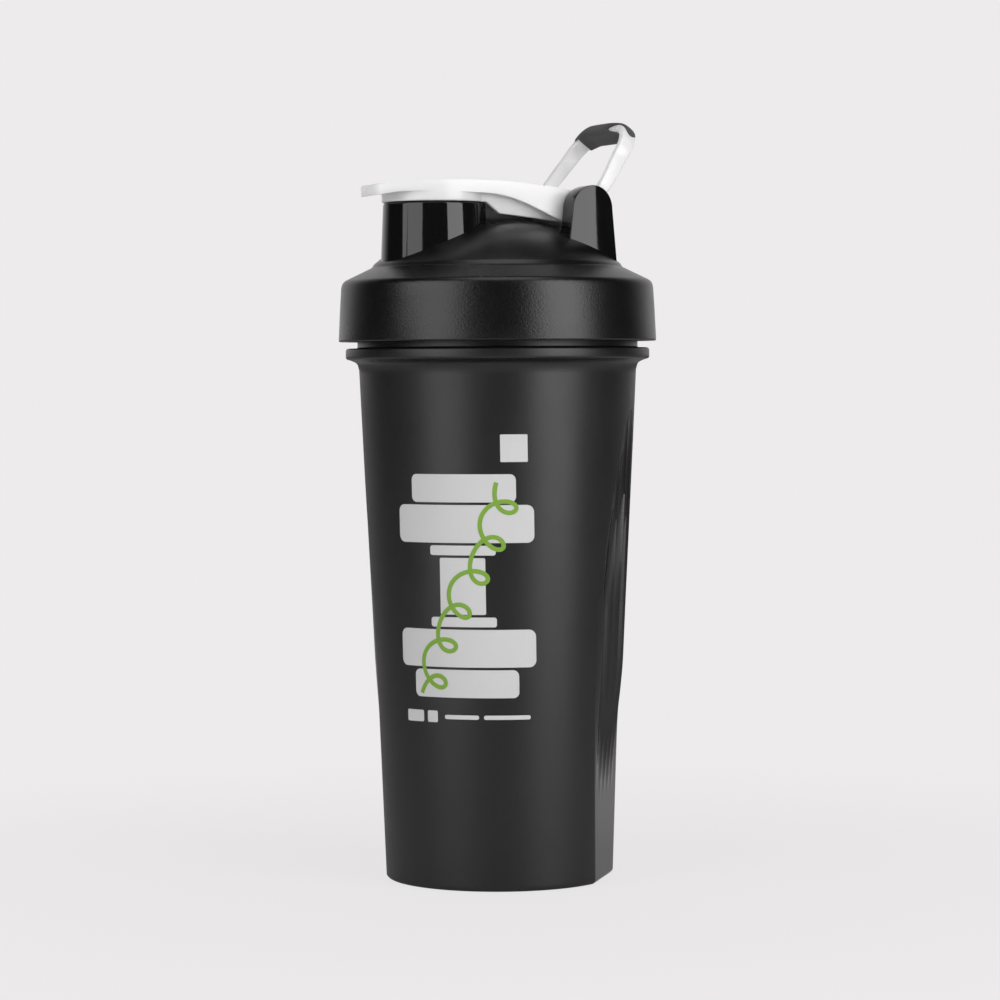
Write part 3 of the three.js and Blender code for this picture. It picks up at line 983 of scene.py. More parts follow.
@dataclass
class CupPrint:
    """Plain ink graphic on the front of the cup: a stack of blocks like a weight bar, and a pen stroke."""

    cup: Cup
    middle: float = -130.0
    lift: float = 0.05
    thickness: float = 0.05
    pen: float = 0.72
    stroke_start: Pair = (-12.0, 60.0)
    stroke_way: Pair = (0.36, 0.93)
    stroke_length: float = 70.0
    stroke_turns: float = 6.0
    stroke_steps: int = 420
    loop_size: float = 3.4
    loop_swell: float = 1.8
    loop_pitch: float = 4.2
    sway: float = 1.6
    blocks: tuple[Patch, ...] = (
        Patch(-0.6, 124.4, 34.0, 8.6, 1.8),
        Patch(-0.6, 113.5, 45.0, 11.6, 2.2),
        Patch(-0.6, 105.4, 21.0, 3.0, 0.8),
        Patch(-0.6, 94.4, 14.5, 17.4, 0.5),
        Patch(-0.6, 83.4, 21.0, 3.0, 0.8),
        Patch(-0.6, 75.3, 45.0, 11.6, 2.2),
        Patch(-0.6, 64.4, 34.0, 8.6, 1.8),
        Patch(16.0, 136.6, 8.4, 8.4, 0.3),
    )
    dashes: tuple[Patch, ...] = (
        Patch(-18.0, 54.1, 6.6, 3.6, 0.5),
        Patch(-11.4, 54.1, 3.6, 3.6, 0.5),
        Patch(-1.6, 54.1, 11.0, 1.3, 0.6),
        Patch(12.6, 54.1, 14.4, 1.3, 0.6),
    )

    def on_wall(self, across: float, up: float, lift: float) -> Vector:
        """Puts a point of the flat artwork on the cup's wall.

        Args:
            across: Distance along the wall from the middle of the print, to the right as seen.
            up: Height.
            lift: Distance from the wall.

        Returns:
            The place on the wall.
        """
        radius = self.cup.cone(up)
        return wrapped(self.middle + math.degrees(across / radius), up, radius + lift)

    def block(self, name: str, patch: Patch) -> Object:
        """Makes one block of ink.

        Args:
            name: Name of the new object.
            patch: The block's place and size.

        Returns:
            The block, a thin closed film on the wall.
        """
        bpy.ops.object.select_all(action="DESELECT")
        bpy.ops.mesh.primitive_grid_add(x_subdivisions=48, y_subdivisions=2, size=2 * MM)
        obj = bpy.context.object
        obj.name = obj.data.name = name

        def place(point: Vector) -> Vector:
            """Rounds the ends of the block and wraps it round the wall."""
            share = math.sin(point.x * math.pi / 2)
            inward = max(0.0, abs(share) * patch.width / 2 - patch.width / 2 + patch.corner)
            cut = patch.corner - math.sqrt(max(0.0, patch.corner**2 - inward**2))
            up = patch.up + point.y * (patch.height / 2 - cut)
            return self.on_wall(patch.across + share * patch.width / 2, up, self.lift)

        reshape(settle(obj), place)
        mend(obj)
        return apply_modifier(obj, "SOLIDIFY", thickness=self.thickness * MM, offset=0.0)

    def stroke(self) -> Object:
        """Makes the pen stroke, a row of loose slanted loops that climbs across the blocks."""
        points = []
        across, up = self.stroke_start
        right, rise = self.stroke_way
        for i in range(self.stroke_steps + 1):
            share = i / self.stroke_steps
            turn = 2 * math.pi * self.stroke_turns * share
            size = self.loop_size + self.loop_swell * math.sin(share * 9.4) ** 2
            along = self.stroke_length * share + self.loop_pitch * math.sin(turn)
            aside = size * math.cos(turn) + self.sway * math.sin(share * 6.0)
            x, z = along * right - aside * rise, along * rise + aside * right
            points.append(Vector((across + x, 0, up + z)))
        obj = wire("cup_print_stroke", points, self.pen)
        return reshape(obj, lambda p: self.on_wall(p.x, p.z, self.lift + 0.07 + 0.05 * p.y / self.pen))

    def build(self, paint: Paintshop) -> None:
        """Prints the blocks, the dashes below them and the stroke.

        Args:
            paint: Where the finishes are made.
        """
        for kind, patches in (("block", self.blocks), ("dash", self.dashes)):
            for number, patch in enumerate(patches, 1):
                film = smooth(self.block(f"cup_print_{kind}_{number}", patch))
                deliver(film, paint.finish(GREY_INK), Body.CUP, Slot.CUP)
        deliver(smooth(self.stroke()), paint.finish(GREEN_INK), Body.CUP, Slot.CUP)


# ---------------------------------------------------------------------------------------------
# Lid
# ---------------------------------------------------------------------------------------------


@dataclass
class Lid:
    """Screw lid with a domed top, a drinking spout and two hinge ears."""

    skirt_bottom: float = 169.4
    skirt_radius: float = 50.1
    dome_radius: float = 60.0
    dome_top: float = 208.0
    wall: float = 2.0
    thread_radius: float = 47.4
    thread_z: float = 175.7
    seat_z: float = 187.7
    lip_radius: float = 40.9
    lip_bottom: float = 183.2
    spout_x: float = -21.6
    spout_radius: float = 16.0
    spout_foot_radius: float = 16.9
    spout_root: float = 190.6
    spout_bore: float = 12.8
    spout_shoulder: float = 212.4
    spout_neck: float = 14.5
    spout_top: float = 214.8
    hinge_x: float = 22.1
    hinge_z: float = 210.5
    ear_face: float = 24.5
    ear_plate: float = 2.4
    ear_depth: float = 7.4
    ear_radius: float = 7.3
    ear_splay: float = 2.3
    ear_foot: float = 188.6
    ear_hood: float = 1.6
    ear_curve: float = 44.0
    ear_slope: float = 0.1
    ear_relief: float = 0.35
    ear_slices: int = 8
    slice_width: float = 1.1
    peg_radius: float = 2.6
    peg_end: float = 13.5

    def dome(self, radius: float, start: float, end: float, steps: int) -> Profile:
        """Draws part of the dome.

        Args:
            radius: Radius of the sphere that the dome is part of.
            start: Distance from the axis at which the line starts.
            end: Distance from the axis at which it ends.
            steps: Points along the line.

        Returns:
            The points of the line.
        """
        centre = self.dome_top - self.dome_radius
        line = [start + (end - start) * i / steps for i in range(steps + 1)]
        return [(r, centre + math.sqrt(radius**2 - r**2)) for r in line]

    def inner_line(self) -> Profile:
        """Draws the underside of the dome and the inside of the lip below it."""
        bore = self.lip_radius - 1.6
        edge = [(36.5, 193.07, 0), (38.6, 190.4, 1.2), (bore, self.seat_z, 0.8), (bore, self.lip_bottom, 0)]
        return [*self.dome(self.dome_radius - self.wall, 0, 36.0, 24), *rounded(edge)]

    def shell(self) -> Object:
        """Turns the skirt and the dome, and bores the way to the spout."""
        skirt = rounded([
            (self.lip_radius - 1.6, self.lip_bottom, 0), (self.lip_radius, self.lip_bottom, 0.5),
            (self.lip_radius, self.seat_z, 0.4), (46.2, self.seat_z, 0.6), (self.thread_radius, 186.4, 0.4),
            (self.thread_radius, self.skirt_bottom, 0.5), (self.skirt_radius, self.skirt_bottom, 0.55),
            (49.62, 179.5, 3.0), (49.2, 186.2, 0),
        ])
        shoulder = [(49.15, 186.4, 0), (48.8, 188.15, 1.4), (39.5, 192.65, 0.45), (38.9, 193.68, 0)]
        dome = self.dome(self.dome_radius, 38.3, 0, 36)
        profile = [*self.inner_line(), *skirt[1:], *rounded(shoulder, 7)[1:], *dome]
        obj = turned("lid_shell", profile, ((FULL_TURN, 200),))
        bore = turned("bore", [(0, 180), (self.spout_bore, 180), (self.spout_bore, 230), (0, 230)],
                      axis_x=self.spout_x)
        return combine(obj, bore, Join.CUT)

    def hollow(self, name: str) -> Object:
        """Makes the solid that fills the inside of the dome, a hair higher than its underside."""
        line = [(r, z + 0.5) for r, z in self.inner_line()]
        return turned(name, [*line, (line[-1][0], 175.0), (0, 175.0)])

    def spout(self) -> Object:
        """Turns the spout and trims it under the dome."""
        profile = rounded([
            (self.spout_bore, self.spout_root, 0), (self.spout_foot_radius, self.spout_root, 0),
            (self.spout_radius, self.spout_shoulder, 0.6), (self.spout_neck, self.spout_shoulder, 0.3),
            (self.spout_neck, self.spout_top, 0.6), (self.spout_bore, self.spout_top, 0.5),
            (self.spout_bore, self.spout_root, 0),
        ])
        obj = turned("lid_spout", profile, ((FULL_TURN, 120),), axis_x=self.spout_x)
        return mend(combine(obj, self.hollow("under_dome"), Join.CUT))

    def ear(self, side: int) -> Object:
        """Makes a hinge ear with its hood, pocket and peg.

        Args:
            side: 1 for the ear on the +Y side, -1 for the other.

        Returns:
            The ear.
        """
        x, z, radius = self.hinge_x, self.hinge_z, self.ear_radius
        turns = [math.pi * i / 40 for i in range(41)]
        arch = [Vector((x + radius * math.cos(t), 0, z + radius * math.sin(t))) for t in turns]
        foot = [Vector((x - radius - self.ear_splay, 0, self.ear_foot)),
                Vector((x + radius + self.ear_splay, 0, self.ear_foot))]
        inner = (self.ear_face - self.ear_depth) * side
        outline = [point + Vector((0, inner, 0)) for point in [*arch, *foot]]
        name = "lid_ear_left" if side < 0 else "lid_ear_right"
        obj = slab(name, outline, Vector((0, self.ear_depth * side, 0)))
        with editing(obj):
            for i in range(-self.ear_slices, self.ear_slices + 1):
                bpy.ops.mesh.select_all(action="SELECT")
                cut = Vector((x + i * self.slice_width, 0, z)) * MM
                bpy.ops.mesh.bisect(plane_co=cut, plane_no=(1, 0, 0))

        def curve(point: Vector) -> Vector:
            """Curves the outer face a little and turns it in towards the back."""
            if abs(point.y) < self.ear_face - 1:
                return point
            inset = (point.x - x) ** 2 / (2 * self.ear_curve) + (point.x - x) * self.ear_slope
            return point - Vector((0, side * max(0.0, inset + self.ear_relief), 0))

        soften(reshape(obj, curve), 1.1, 4, 50)
        pocket, beyond = self.ear_radius - self.ear_hood, 20.0
        deep = (self.ear_face - self.ear_plate) * side
        combine(obj, pin("pocket", pocket, inner - side, deep, x, z), Join.CUT)
        behind = [Vector((x + dx, inner - side, z + dz)) for dx, dz in
                  ((0.6, beyond), (0.6, -pocket), (beyond, -pocket), (beyond, beyond))]
        combine(obj, slab("behind", behind, Vector((0, deep - inner + side, 0))), Join.CUT)
        combine(obj, self.hollow("under_ear"), Join.CUT)
        soften(obj, 0.25, 2, 50)
        peg = soften(pin("peg", self.peg_radius, self.peg_end * side, deep + side * 0.5, x, z), 0.4, 2, 50)
        return mend(combine(obj, peg, Join.ADD))

    def build(self, paint: Paintshop) -> None:
        """Builds the shell, thread, spout and ears.

        Args:
            paint: Where the finishes are made.
        """
        deliver(smooth(self.shell(), 35), paint.finish(SPARK_BLACK), Body.LID, Slot.LID, "lid")
        screw = ScrewThread(self.thread_radius, -1, self.thread_z).build("lid_thread")
        deliver(screw, paint.finish(SPARK_BLACK), Body.LID, Slot.LID)
        deliver(smooth(self.spout(), 35), paint.finish(GLOSS_BLACK), Body.LID, Slot.LID)
        for side in (-1, 1):
            deliver(smooth(self.ear(side), 35), paint.finish(GLOSS_BLACK), Body.LID, Slot.LID)


@dataclass
class LidGasket:
    """Silicone ring between the cup's rim and the lid."""

    inner: float = 41.4
    outer: float = 45.0
    bottom: float = 185.5
    top: float = 187.4

    def build(self, paint: Paintshop) -> None:
        """Turns the ring, with rounded edges and a bead on top.

        Args:
            paint: Where the finishes are made.
        """
        middle = (self.inner + self.outer) / 2
        profile = rounded([
            (middle, self.bottom, 0), (self.outer, self.bottom, 0.5), (self.outer, self.top - 0.3, 0.4),
            (middle + 0.9, self.top - 0.3, 0.3), (middle, self.top, 0.5), (middle - 0.9, self.top - 0.3, 0.3),
            (self.inner, self.top - 0.3, 0.4), (self.inner, self.bottom, 0.5), (middle, self.bottom, 0),
        ])
        obj = smooth(turned("lid_gasket_ring", profile, ((FULL_TURN, 160),)))
        deliver(obj, paint.finish(SILICONE), Body.SEAL, Slot.SEAL, "lid_gasket")


# ---------------------------------------------------------------------------------------------
# Flip cap
# ---------------------------------------------------------------------------------------------


@dataclass
class FlipCap:
    """White cap that swings over the spout on the ears' pegs, with a thumb tab in front."""

    lid: Lid
    half_width: float = 16.4
    tip_x: float = -46.3
    skin: float = 2.2
    side_wall: float = 1.8
    ring_radius: float = 16.4
    ring_bore: float = 14.8
    ring_bottom: float = 212.7
    ring_top: float = 217.9
    barrel_radius: float = 5.6
    stem_radius: float = 4.0
    stem_bottom: float = 212.0
    stem_top: float = 218.0
    rib_inner: float = 10.8
    rib_outer: float = 12.4
    rib_line: tuple[Pair, ...] = (
        (-11.5, 217), (22.1, 215), (22.1, 206.5), (14, 207), (6, 208), (-2, 208.8), (-4.8, 209.1),
        (-9.2, 212.65), (-11.5, 212.65),
    )
    rounding: float = 0.9
    top_line: tuple[Pair, ...] = (
        (-47.3, 214.3), (-45.4, 215.6), (-44.6, 216.9), (-43.4, 217.7), (-41, 218.3), (-36, 218.9),
        (-30, 219.15), (-21.6, 219.3), (-8, 219.15), (2, 218.6), (10, 217.7), (17, 216.8), (22.1, 216.1),
    )
    skirt_line: tuple[Pair, ...] = (
        (22.1, 206.5), (15, 207.0), (7.5, 210.2), (0.6, 213.0), (-8, 215.0), (-22, 215.5), (-36, 215.6),
        (-42, 214.8), (-47.3, 213.8),
    )

    def plan(self, name: str, inset: float) -> Object:
        """Makes a tall block with the cap's outline as seen from above.

        Args:
            name: Name of the new object.
            inset: Distance that the outline is drawn in.

        Returns:
            The block.
        """
        half, spout_x = self.half_width - inset, self.lid.spout_x
        tab, tab_x, tip = 9.5 - inset, self.tip_x + 9.5, self.tip_x + inset
        waist = (tab_x - 5, tab - 1.5)
        flank = bezier((spout_x + 2, half), (spout_x - 8, half), (tab_x - 0.8, tab + 0.9), waist)
        front = bezier(waist, (tip, tab - 4), (tip, 4 - tab), (tab_x - 5, 1.5 - tab))
        side = [*flank, *front[1:], *[(x, -y) for x, y in flank[::-1]][1:]]
        outline = [(self.lid.hinge_x, half), *side, (self.lid.hinge_x, -half)]
        return slab(name, [Vector((x, y, 190)) for x, y in outline], Vector((0, 0, 40)))

    def side(self, name: str, drop: float, bottom: Sequence[Pair]) -> Object:
        """Makes a wide block with the cap's outline as seen from the side.

        Args:
            name: Name of the new object.
            drop: Distance that the top line is lowered.
            bottom: The bottom line, from the hinge to the tip.

        Returns:
            The block.
        """
        line = [*[(x, z - drop) for x, z in eased(self.top_line)], *bottom]
        return slab(name, [Vector((x, -30, z)) for x, z in line], Vector((0, 60, 0)))

    def shell(self) -> Object:
        """Makes the rounded cover, hollow underneath."""
        from_side = self.side("side", 0, eased(self.skirt_line))
        obj = combine(self.plan("flip_cap_cover", 0), from_side, Join.CROSS)
        soften(mend(obj, 0.01), self.rounding, 4, 40)
        open_bottom = ((self.lid.hinge_x, 190), (self.tip_x - 1, 190))
        low_side = self.side("low_side", self.skin, open_bottom)
        hollow = combine(self.plan("hollow", self.side_wall), low_side, Join.CROSS)
        return combine(obj, hollow, Join.CUT)

    def build(self, paint: Paintshop) -> None:
        """Builds the cover with its collar, stem, ribs and hinge barrel.

        Args:
            paint: Where the finishes are made.
        """
        x, z, spout_x = self.lid.hinge_x, self.lid.hinge_z, self.lid.spout_x
        obj = self.shell()
        barrel = pin("barrel", self.barrel_radius, -self.half_width, self.half_width, x, z, 64)
        soften(barrel, 0.5, 3, 50)
        collar = turned("collar", rounded([
            (self.ring_bore, self.ring_top, 0), (self.ring_bore, self.ring_bottom, 0.4),
            (self.ring_radius, self.ring_bottom, 0.6), (self.ring_radius, self.ring_top, 0),
            (self.ring_bore, self.ring_top, 0),
        ]), axis_x=spout_x)
        stem = turned("stem", rounded([
            (0, self.stem_bottom, 0), (self.stem_radius, self.stem_bottom, 0.5),
            (self.stem_radius, self.stem_top, 0), (0, self.stem_top, 0),
        ]), ((FULL_TURN, 32),), axis_x=spout_x)
        ribs = []
        for side in (-1, 1):
            line = [Vector((px, self.rib_inner * side, pz)) for px, pz in self.rib_line]
            rib = slab("rib", line, Vector((0, (self.rib_outer - self.rib_inner) * side, 0)))
            ribs.append(soften(rib, 0.35, 2, 50))
        for part in (barrel, collar, stem, *ribs):
            combine(obj, part, Join.ADD)
        for side in (-1, 1):
            inner_end = (self.lid.peg_end - GAP) * side
            combine(obj, pin("peg_hole", self.lid.peg_radius + GAP, inner_end, 20 * side, x, z), Join.CUT)
        deliver(smooth(mend(obj), 35), paint.finish(GLOSS_WHITE), Body.FLIP_CAP, Slot.CAP, "flip_cap")


@dataclass
class SpoutSeal:
    """Silicone plug on the cap's stem that fills the mouth of the spout."""

    lid: Lid
    radius: float = 12.4
    bottom: float = 209.5
    top: float = 216.6
    socket_radius: float = 4.3
    socket_top: float = 211.7

    def build(self, paint: Paintshop) -> None:
        """Turns the plug, with two sealing beads on its side.

        Args:
            paint: Where the finishes are made.
        """
        waist = self.radius - 0.45
        profile = rounded([
            (0, self.bottom, 0), (self.radius - 1.0, self.bottom, 0.8), (waist, self.bottom + 1.2, 0.5),
            (self.radius, self.bottom + 1.9, 0.5), (waist, self.bottom + 2.6, 0.4),
            (waist, self.bottom + 3.4, 0.4), (self.radius, self.bottom + 4.1, 0.5),
            (waist, self.bottom + 4.8, 0.5), (waist, self.top, 0.5), (self.socket_radius, self.top, 0.3),
            (self.socket_radius, self.socket_top, 0), (0, self.socket_top, 0),
        ])
        obj = turned("spout_plug", profile, ((FULL_TURN, 96),), axis_x=self.lid.spout_x)
        deliver(smooth(obj), paint.finish(SILICONE), Body.FLIP_CAP, Slot.SEAL, "spout_seal")


# ---------------------------------------------------------------------------------------------
# Carry loop
# ---------------------------------------------------------------------------------------------


@dataclass
class CarryLoop:
    """White bail with an eye at each end, and the rubber sleeve on its top bar."""

    lid: Lid
    lean: float = 35.5
    arm_y: float = 20.3
    bulge_y: float = 20.7
    bulge_reach: float = 11.0
    reach: float = 30.9
    top_y: float = 18.3
    corner: float = 10.0
    thickness: float = 2.5
    width_foot: float = 3.4
    width_top: float = 5.2
    eye_radius: float = 5.0
    eye_half: float = 1.4
    grip_half: float = 15.0
    grip_tail: float = 4.5
    grip_notch: float = 9.0
    grip_short: float = 3.5
    grip_skin: float = 1.25

    def middle_line(self, steps: int = 12) -> list[Vector]:
        """Draws the loop's middle line square on, with Y across the bottle and Z away from the hinge."""
        shoulder, flat_end = self.reach - self.corner, self.top_y - self.corner
        foot = [(self.arm_y, 0), (self.arm_y + 0.1, 5.0)]
        arm = eased([*foot, (self.bulge_y, self.bulge_reach), (self.top_y, shoulder)])
        half = [Vector((0, y, z)) for y, z in arm[:-1]]
        for i in range(steps + 1):
            turn = math.pi / 2 * i / steps
            y, z = flat_end + self.corner * math.cos(turn), shoulder + self.corner * math.sin(turn)
            half.append(Vector((0, y, z)))
        half += [Vector((0, flat_end * (1 - i / 4), self.reach)) for i in range(1, 5)]
        return [*half, *[Vector((0, -p.y, p.z)) for p in half[-2::-1]]]

    def leaned(self, obj: Object) -> Object:
        """Leans a piece back from upright and brings it to the hinge."""
        only(obj)
        obj.rotation_euler.y = math.radians(self.lean)
        obj.location = Vector((self.lid.hinge_x, 0, self.lid.hinge_z)) * MM
        return settle(obj)

    def bail(self) -> Object:
        """Makes the loop with its eyes."""
        line = self.middle_line()
        outer, inner = [], []
        for i, point in enumerate(line):
            along = (line[min(i + 1, len(line) - 1)] - line[max(i - 1, 0)]).normalized()
            aside = Vector((0, along.z, -along.y)) * self.thickness / 2
            outer.append(point + aside)
            inner.append(point - aside)
        obj = slab("carry_loop_bail", [*outer, *inner[::-1]], Vector((1, 0, 0)))

        def widen(point: Vector) -> Vector:
            """Gives the band its width, which grows away from the hinge."""
            share = min(1.0, max(0.0, point.z / self.reach))
            return Vector(((point.x - 0.5) * (self.width_foot + (self.width_top - self.width_foot) * share),
                           point.y, point.z))

        soften(reshape(obj, widen), 0.7, 4, 50)
        for side in (-1, 1):
            y = side * self.arm_y
            eye = pin("eye", self.eye_radius, y - self.eye_half, y + self.eye_half, 0, 0, 64)
            combine(obj, soften(eye, 0.45, 3, 50), Join.ADD)
            combine(obj, pin("peg_hole", self.lid.peg_radius + GAP, y - 4, y + 4, 0, 0), Join.CUT)
        return self.leaned(mend(obj))

    def sleeve(self, sides: int = 40, rings: int = 64, end_rings: int = 5) -> Object:
        """Makes the sleeve as a tube over the bar that turns in at its ends.

        Args:
            sides: Points round the sleeve's section.
            rings: Sections along the outside of the sleeve.
            end_rings: Sections at each end that turn in to the bar.

        Returns:
            The sleeve.
        """
        bpy.ops.object.select_all(action="DESELECT")
        bpy.ops.mesh.primitive_circle_add(vertices=sides, radius=MM)
        obj = bpy.context.object
        obj.name = obj.data.name = "loop_grip_sleeve"
        total = rings + 2 * end_rings
        with editing(obj):
            for _ in range(total):
                bpy.ops.mesh.extrude_region_move(TRANSFORM_OT_translate={"value": (0, 0, MM)})

        def section(point: Vector) -> Vector:
            """Lays a ring of the tube on the loop's bar."""
            ring, turn = round(point.z), math.atan2(point.y, point.x)
            along = min(1.0, max(-1.0, (2 * ring - total) / rings))
            inward = max(0.0, abs(2 * ring - total) / 2 - rings / 2) / end_rings
            outer, front = math.sin(turn), max(0.0, -math.cos(turn))
            cut_back = self.grip_notch * front**2 + self.grip_short if along < 0 else 0.0
            length = self.grip_half + self.grip_tail * ((1 + outer) / 2) ** 2 - cut_back
            place, outward = self.on_bar(along * length)
            end = abs(along)
            skin = self.grip_skin * (1 - 0.45 * end**6 - 0.55 * max(0.0, outer) * end**3) * (1 - inward)
            half_wide = self.width_top / 2 + skin - 0.5 * inward
            half_thick = self.thickness / 2 + skin - 0.5 * inward
            round_x = math.copysign(abs(math.cos(turn)) ** 0.75, math.cos(turn))
            round_y = math.copysign(abs(math.sin(turn)) ** 0.75, math.sin(turn))
            return place + outward * (half_thick * round_y) + Vector((half_wide * round_x, 0, 0))

        reshape(obj, section)
        with editing(obj):
            bpy.ops.mesh.fill_holes(sides=0)
        return self.leaned(mend(obj))

    def on_bar(self, along: float) -> tuple[Vector, Vector]:
        """Finds a place on the loop's top bar or corners.

        Args:
            along: Distance along the middle line from the middle of the bar.

        Returns:
            The point of the middle line and the way out of the loop there.
        """
        flat_end = self.top_y - self.corner
        turn = max(0.0, abs(along) - flat_end) / self.corner
        across = min(abs(along), flat_end) + self.corner * math.sin(turn)
        point = Vector((0, math.copysign(across, along), self.reach - self.corner * (1 - math.cos(turn))))
        return point, Vector((0, math.copysign(math.sin(turn), along), math.cos(turn)))

    def build(self, paint: Paintshop) -> None:
        """Builds the bail and its sleeve.

        Args:
            paint: Where the finishes are made.
        """
        deliver(smooth(self.bail(), 35), paint.finish(GLOSS_WHITE), Body.CARRY_LOOP, Slot.CAP, "carry_loop")
        deliver(smooth(self.sleeve(), 60), paint.finish(SOFT_RUBBER), Body.CARRY_LOOP, Slot.GRIP, "loop_grip")


# ---------------------------------------------------------------------------------------------
# Whisk ball
# ---------------------------------------------------------------------------------------------


@dataclass
class WhiskBall:
    """Loose ball wound from one steel wire, which lies in the cup."""

    radius: float = 26.0
    wire_radius: float = 1.2
    turns: float = 9.0
    first_polar: float = 12.0
    centre_z: float = 29.5
    steps_per_turn: int = 48

    def build(self, paint: Paintshop) -> None:
        """Winds the wire from pole to pole.

        Args:
            paint: Where the finishes are made.
        """
        steps = round(self.turns * self.steps_per_turn)
        reach = self.radius - self.wire_radius
        points = []
        for i in range(steps + 1):
            polar = math.radians(self.first_polar + (180 - 2 * self.first_polar) * i / steps)
            turn = FULL_TURN * self.turns * i / steps
            points.append(wrapped(turn, self.centre_z - reach * math.cos(polar), reach * math.sin(polar)))
        obj = smooth(wire("whisk_ball_wire", points, self.wire_radius), 60)
        deliver(obj, paint.finish(DRAWN_STEEL), Body.WHISK_BALL, Slot.WIRE, "whisk_ball")


# ---------------------------------------------------------------------------------------------
# Studio
# ---------------------------------------------------------------------------------------------


@dataclass(frozen=True)
class Softbox:
    """Tall lamp with a diffuser, aimed at the bottle. Turn is measured round the bottle from the camera."""

    name: str
    turn: float
    distance: float
    height: float
    width: float
    tall: float
    power: float
    shape: LampShape = LampShape.OBLONG


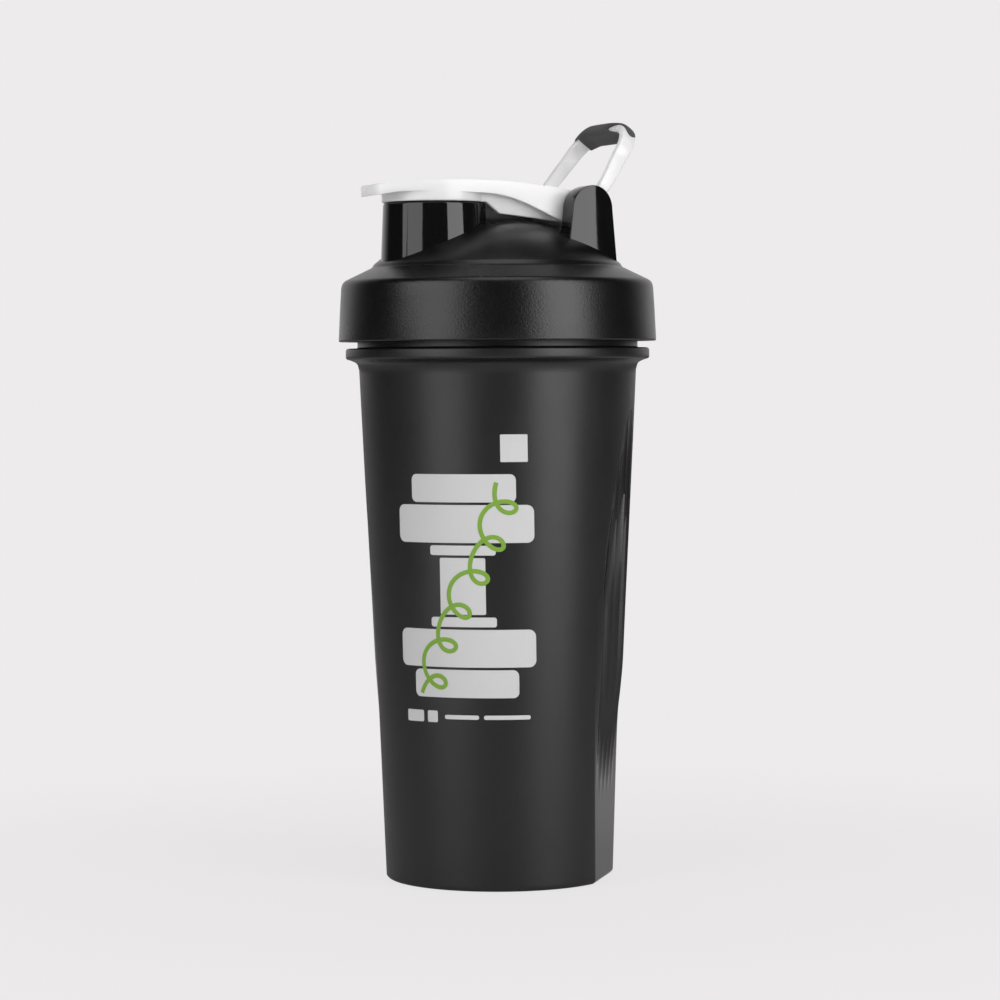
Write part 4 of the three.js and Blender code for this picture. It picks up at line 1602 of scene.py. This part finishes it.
@dataclass
class Studio:
    """Pale floor and backdrop, softboxes and the camera."""

    camera_turn: float = -25.0
    camera_distance: float = 1.075
    camera_height: float = 0.160
    lens: float = 122.4
    tilt: float = 2.17
    yaw: float = 0.029
    roll: float = -0.3
    pale: Colour = (0.847, 0.831, 0.839)
    surround: float = 0.9
    dark: float = 0.03
    boxes: tuple[Softbox, ...] = (
        Softbox("left softbox", -43.0, 1.0, 0.30, 0.62, 1.5, 7.0),
        Softbox("right softbox", 48.0, 1.0, 0.30, 0.68, 1.5, 12.0),
        Softbox("top softbox", 10.0, 0.35, 1.3, 0.9, 0.9, 4.0),
        Softbox("left strip", -67.0, 1.0, 0.62, 0.26, 0.8, 1.2, LampShape.OVAL),
    )

    def floor(self) -> None:
        """Lays the floor, a large sheet that looks as pale as the backdrop, with a trace of shadow."""
        bpy.ops.object.select_all(action="DESELECT")
        bpy.ops.mesh.primitive_circle_add(vertices=96, radius=6.0, fill_type="NGON", location=(0, 0, -0.0002))
        obj = settle(bpy.context.object)
        obj.name = "floor"
        material = bpy.data.materials.new("pale floor")
        material.use_nodes = True
        nodes = Nodes(material.node_tree)
        shader = nodes.add("BsdfPrincipled")
        shader.inputs["Roughness"].default_value = 0.7
        place = nodes.add("TexCoord").outputs["Object"]
        tone = nodes.add("Mix", data_type="RGBA")
        nodes.link(nodes.noise(place, 30.0, 3.0), tone.inputs[0])
        tone.inputs[6].default_value = (0.80, 0.79, 0.795, 1)
        tone.inputs[7].default_value = (0.82, 0.81, 0.815, 1)
        nodes.link(tone.outputs[2], shader.inputs["Base Color"])
        glow = nodes.add("Emission")
        glow.inputs["Color"].default_value = (*self.pale, 1)
        seen = nodes.add("LightPath").outputs["Is Camera Ray"]
        mix = nodes.add("MixShader")
        far = nodes.add("VectorMath", operation="LENGTH")
        nodes.link(place, far.inputs[0])
        plain = nodes.ramp(far.outputs["Value"], 0.06, 0.35, (0.88, 1.0))
        nodes.link(nodes.sum(seen, plain, Sum.TIMES), mix.inputs["Fac"])
        nodes.link(shader.outputs[0], mix.inputs[1])
        nodes.link(glow.outputs[0], mix.inputs[2])
        nodes.link(mix.outputs[0], nodes.add("OutputMaterial").inputs["Surface"])
        obj.data.materials.append(material)

    def backdrop(self) -> None:
        """Fills the room: pale where the camera looks, bright behind the bottle and dark in front of it."""
        world = bpy.data.worlds.new("studio room")
        bpy.context.scene.world = world
        world.use_nodes = True
        nodes = Nodes(world.node_tree)
        away = nodes.add("VectorMath", operation="DOT_PRODUCT")
        turn = math.radians(self.camera_turn)
        nodes.link(nodes.add("TexCoord").outputs["Generated"], away.inputs[0])
        away.inputs[1].default_value = (-math.sin(turn), math.cos(turn), 0)
        light = nodes.ramp(away.outputs["Value"], 0.42, 0.86, (self.dark, self.surround))
        room = nodes.add("Background")
        nodes.link(light, room.inputs["Strength"])
        plain = nodes.add("Background")
        plain.inputs["Color"].default_value = (*self.pale, 1)
        mix = nodes.add("MixShader")
        nodes.link(nodes.add("LightPath").outputs["Is Camera Ray"], mix.inputs["Fac"])
        nodes.link(room.outputs[0], mix.inputs[1])
        nodes.link(plain.outputs[0], mix.inputs[2])
        nodes.link(mix.outputs[0], nodes.add("OutputWorld").inputs["Surface"])

    def lamps(self) -> None:
        """Hangs the softboxes, unseen by the camera."""
        for box in self.boxes:
            turn = math.radians(self.camera_turn + box.turn)
            place = Vector((box.distance * math.sin(turn), -box.distance * math.cos(turn), box.height))
            light = bpy.data.lights.new(box.name, "AREA")
            light.shape = box.shape.value
            light.size, light.size_y, light.energy = box.width, box.tall, box.power
            lamp = bpy.data.objects.new(box.name, light)
            bpy.context.scene.collection.objects.link(lamp)
            lamp.location = place
            aim = Vector((0, 0, box.height if box.distance > 0.5 else 0.15)) - place
            lamp.rotation_euler = aim.to_track_quat("-Z", "Y").to_euler()
            lamp.visible_camera = False

    def camera(self) -> None:
        """Sets up the camera, level with the upper part of the bottle and tilted down a little."""
        turn = math.radians(self.camera_turn)
        data = bpy.data.cameras.new("camera")
        data.lens, data.sensor_width = self.lens, 36.0
        obj = bpy.data.objects.new("camera", data)
        bpy.context.scene.collection.objects.link(obj)
        side, back = self.camera_distance * math.sin(turn), -self.camera_distance * math.cos(turn)
        obj.location = (side, back, self.camera_height)
        aim = Vector((-math.sin(turn), math.cos(turn), 0)).to_track_quat("-Z", "Y")
        obj.rotation_mode = "QUATERNION"
        for axis, degrees in (((0, 1, 0), -self.yaw), ((1, 0, 0), -self.tilt), ((0, 0, 1), self.roll)):
            aim = aim @ Quaternion(axis, math.radians(degrees))
        obj.rotation_quaternion = aim
        bpy.context.scene.camera = obj

    def build(self) -> None:
        """Sets up the whole studio."""
        self.camera()
        self.floor()
        self.backdrop()
        self.lamps()
        bpy.context.scene.view_settings.view_transform = "Standard"


def main() -> None:
    """Builds the bottle piece by piece, then the studio."""
    logging.basicConfig(level=logging.INFO, format="%(name)s: %(message)s")
    paint, cup, lid = Paintshop(), Cup(), Lid()
    top = (LidGasket(), FlipCap(lid), SpoutSeal(lid), CarryLoop(lid))
    for assembly in (cup, CupPrint(cup), lid, *top, WhiskBall()):
        log.info("building %s", type(assembly).__name__)
        assembly.build(paint)
    Studio().build()


if __name__ == "__main__":
    main()
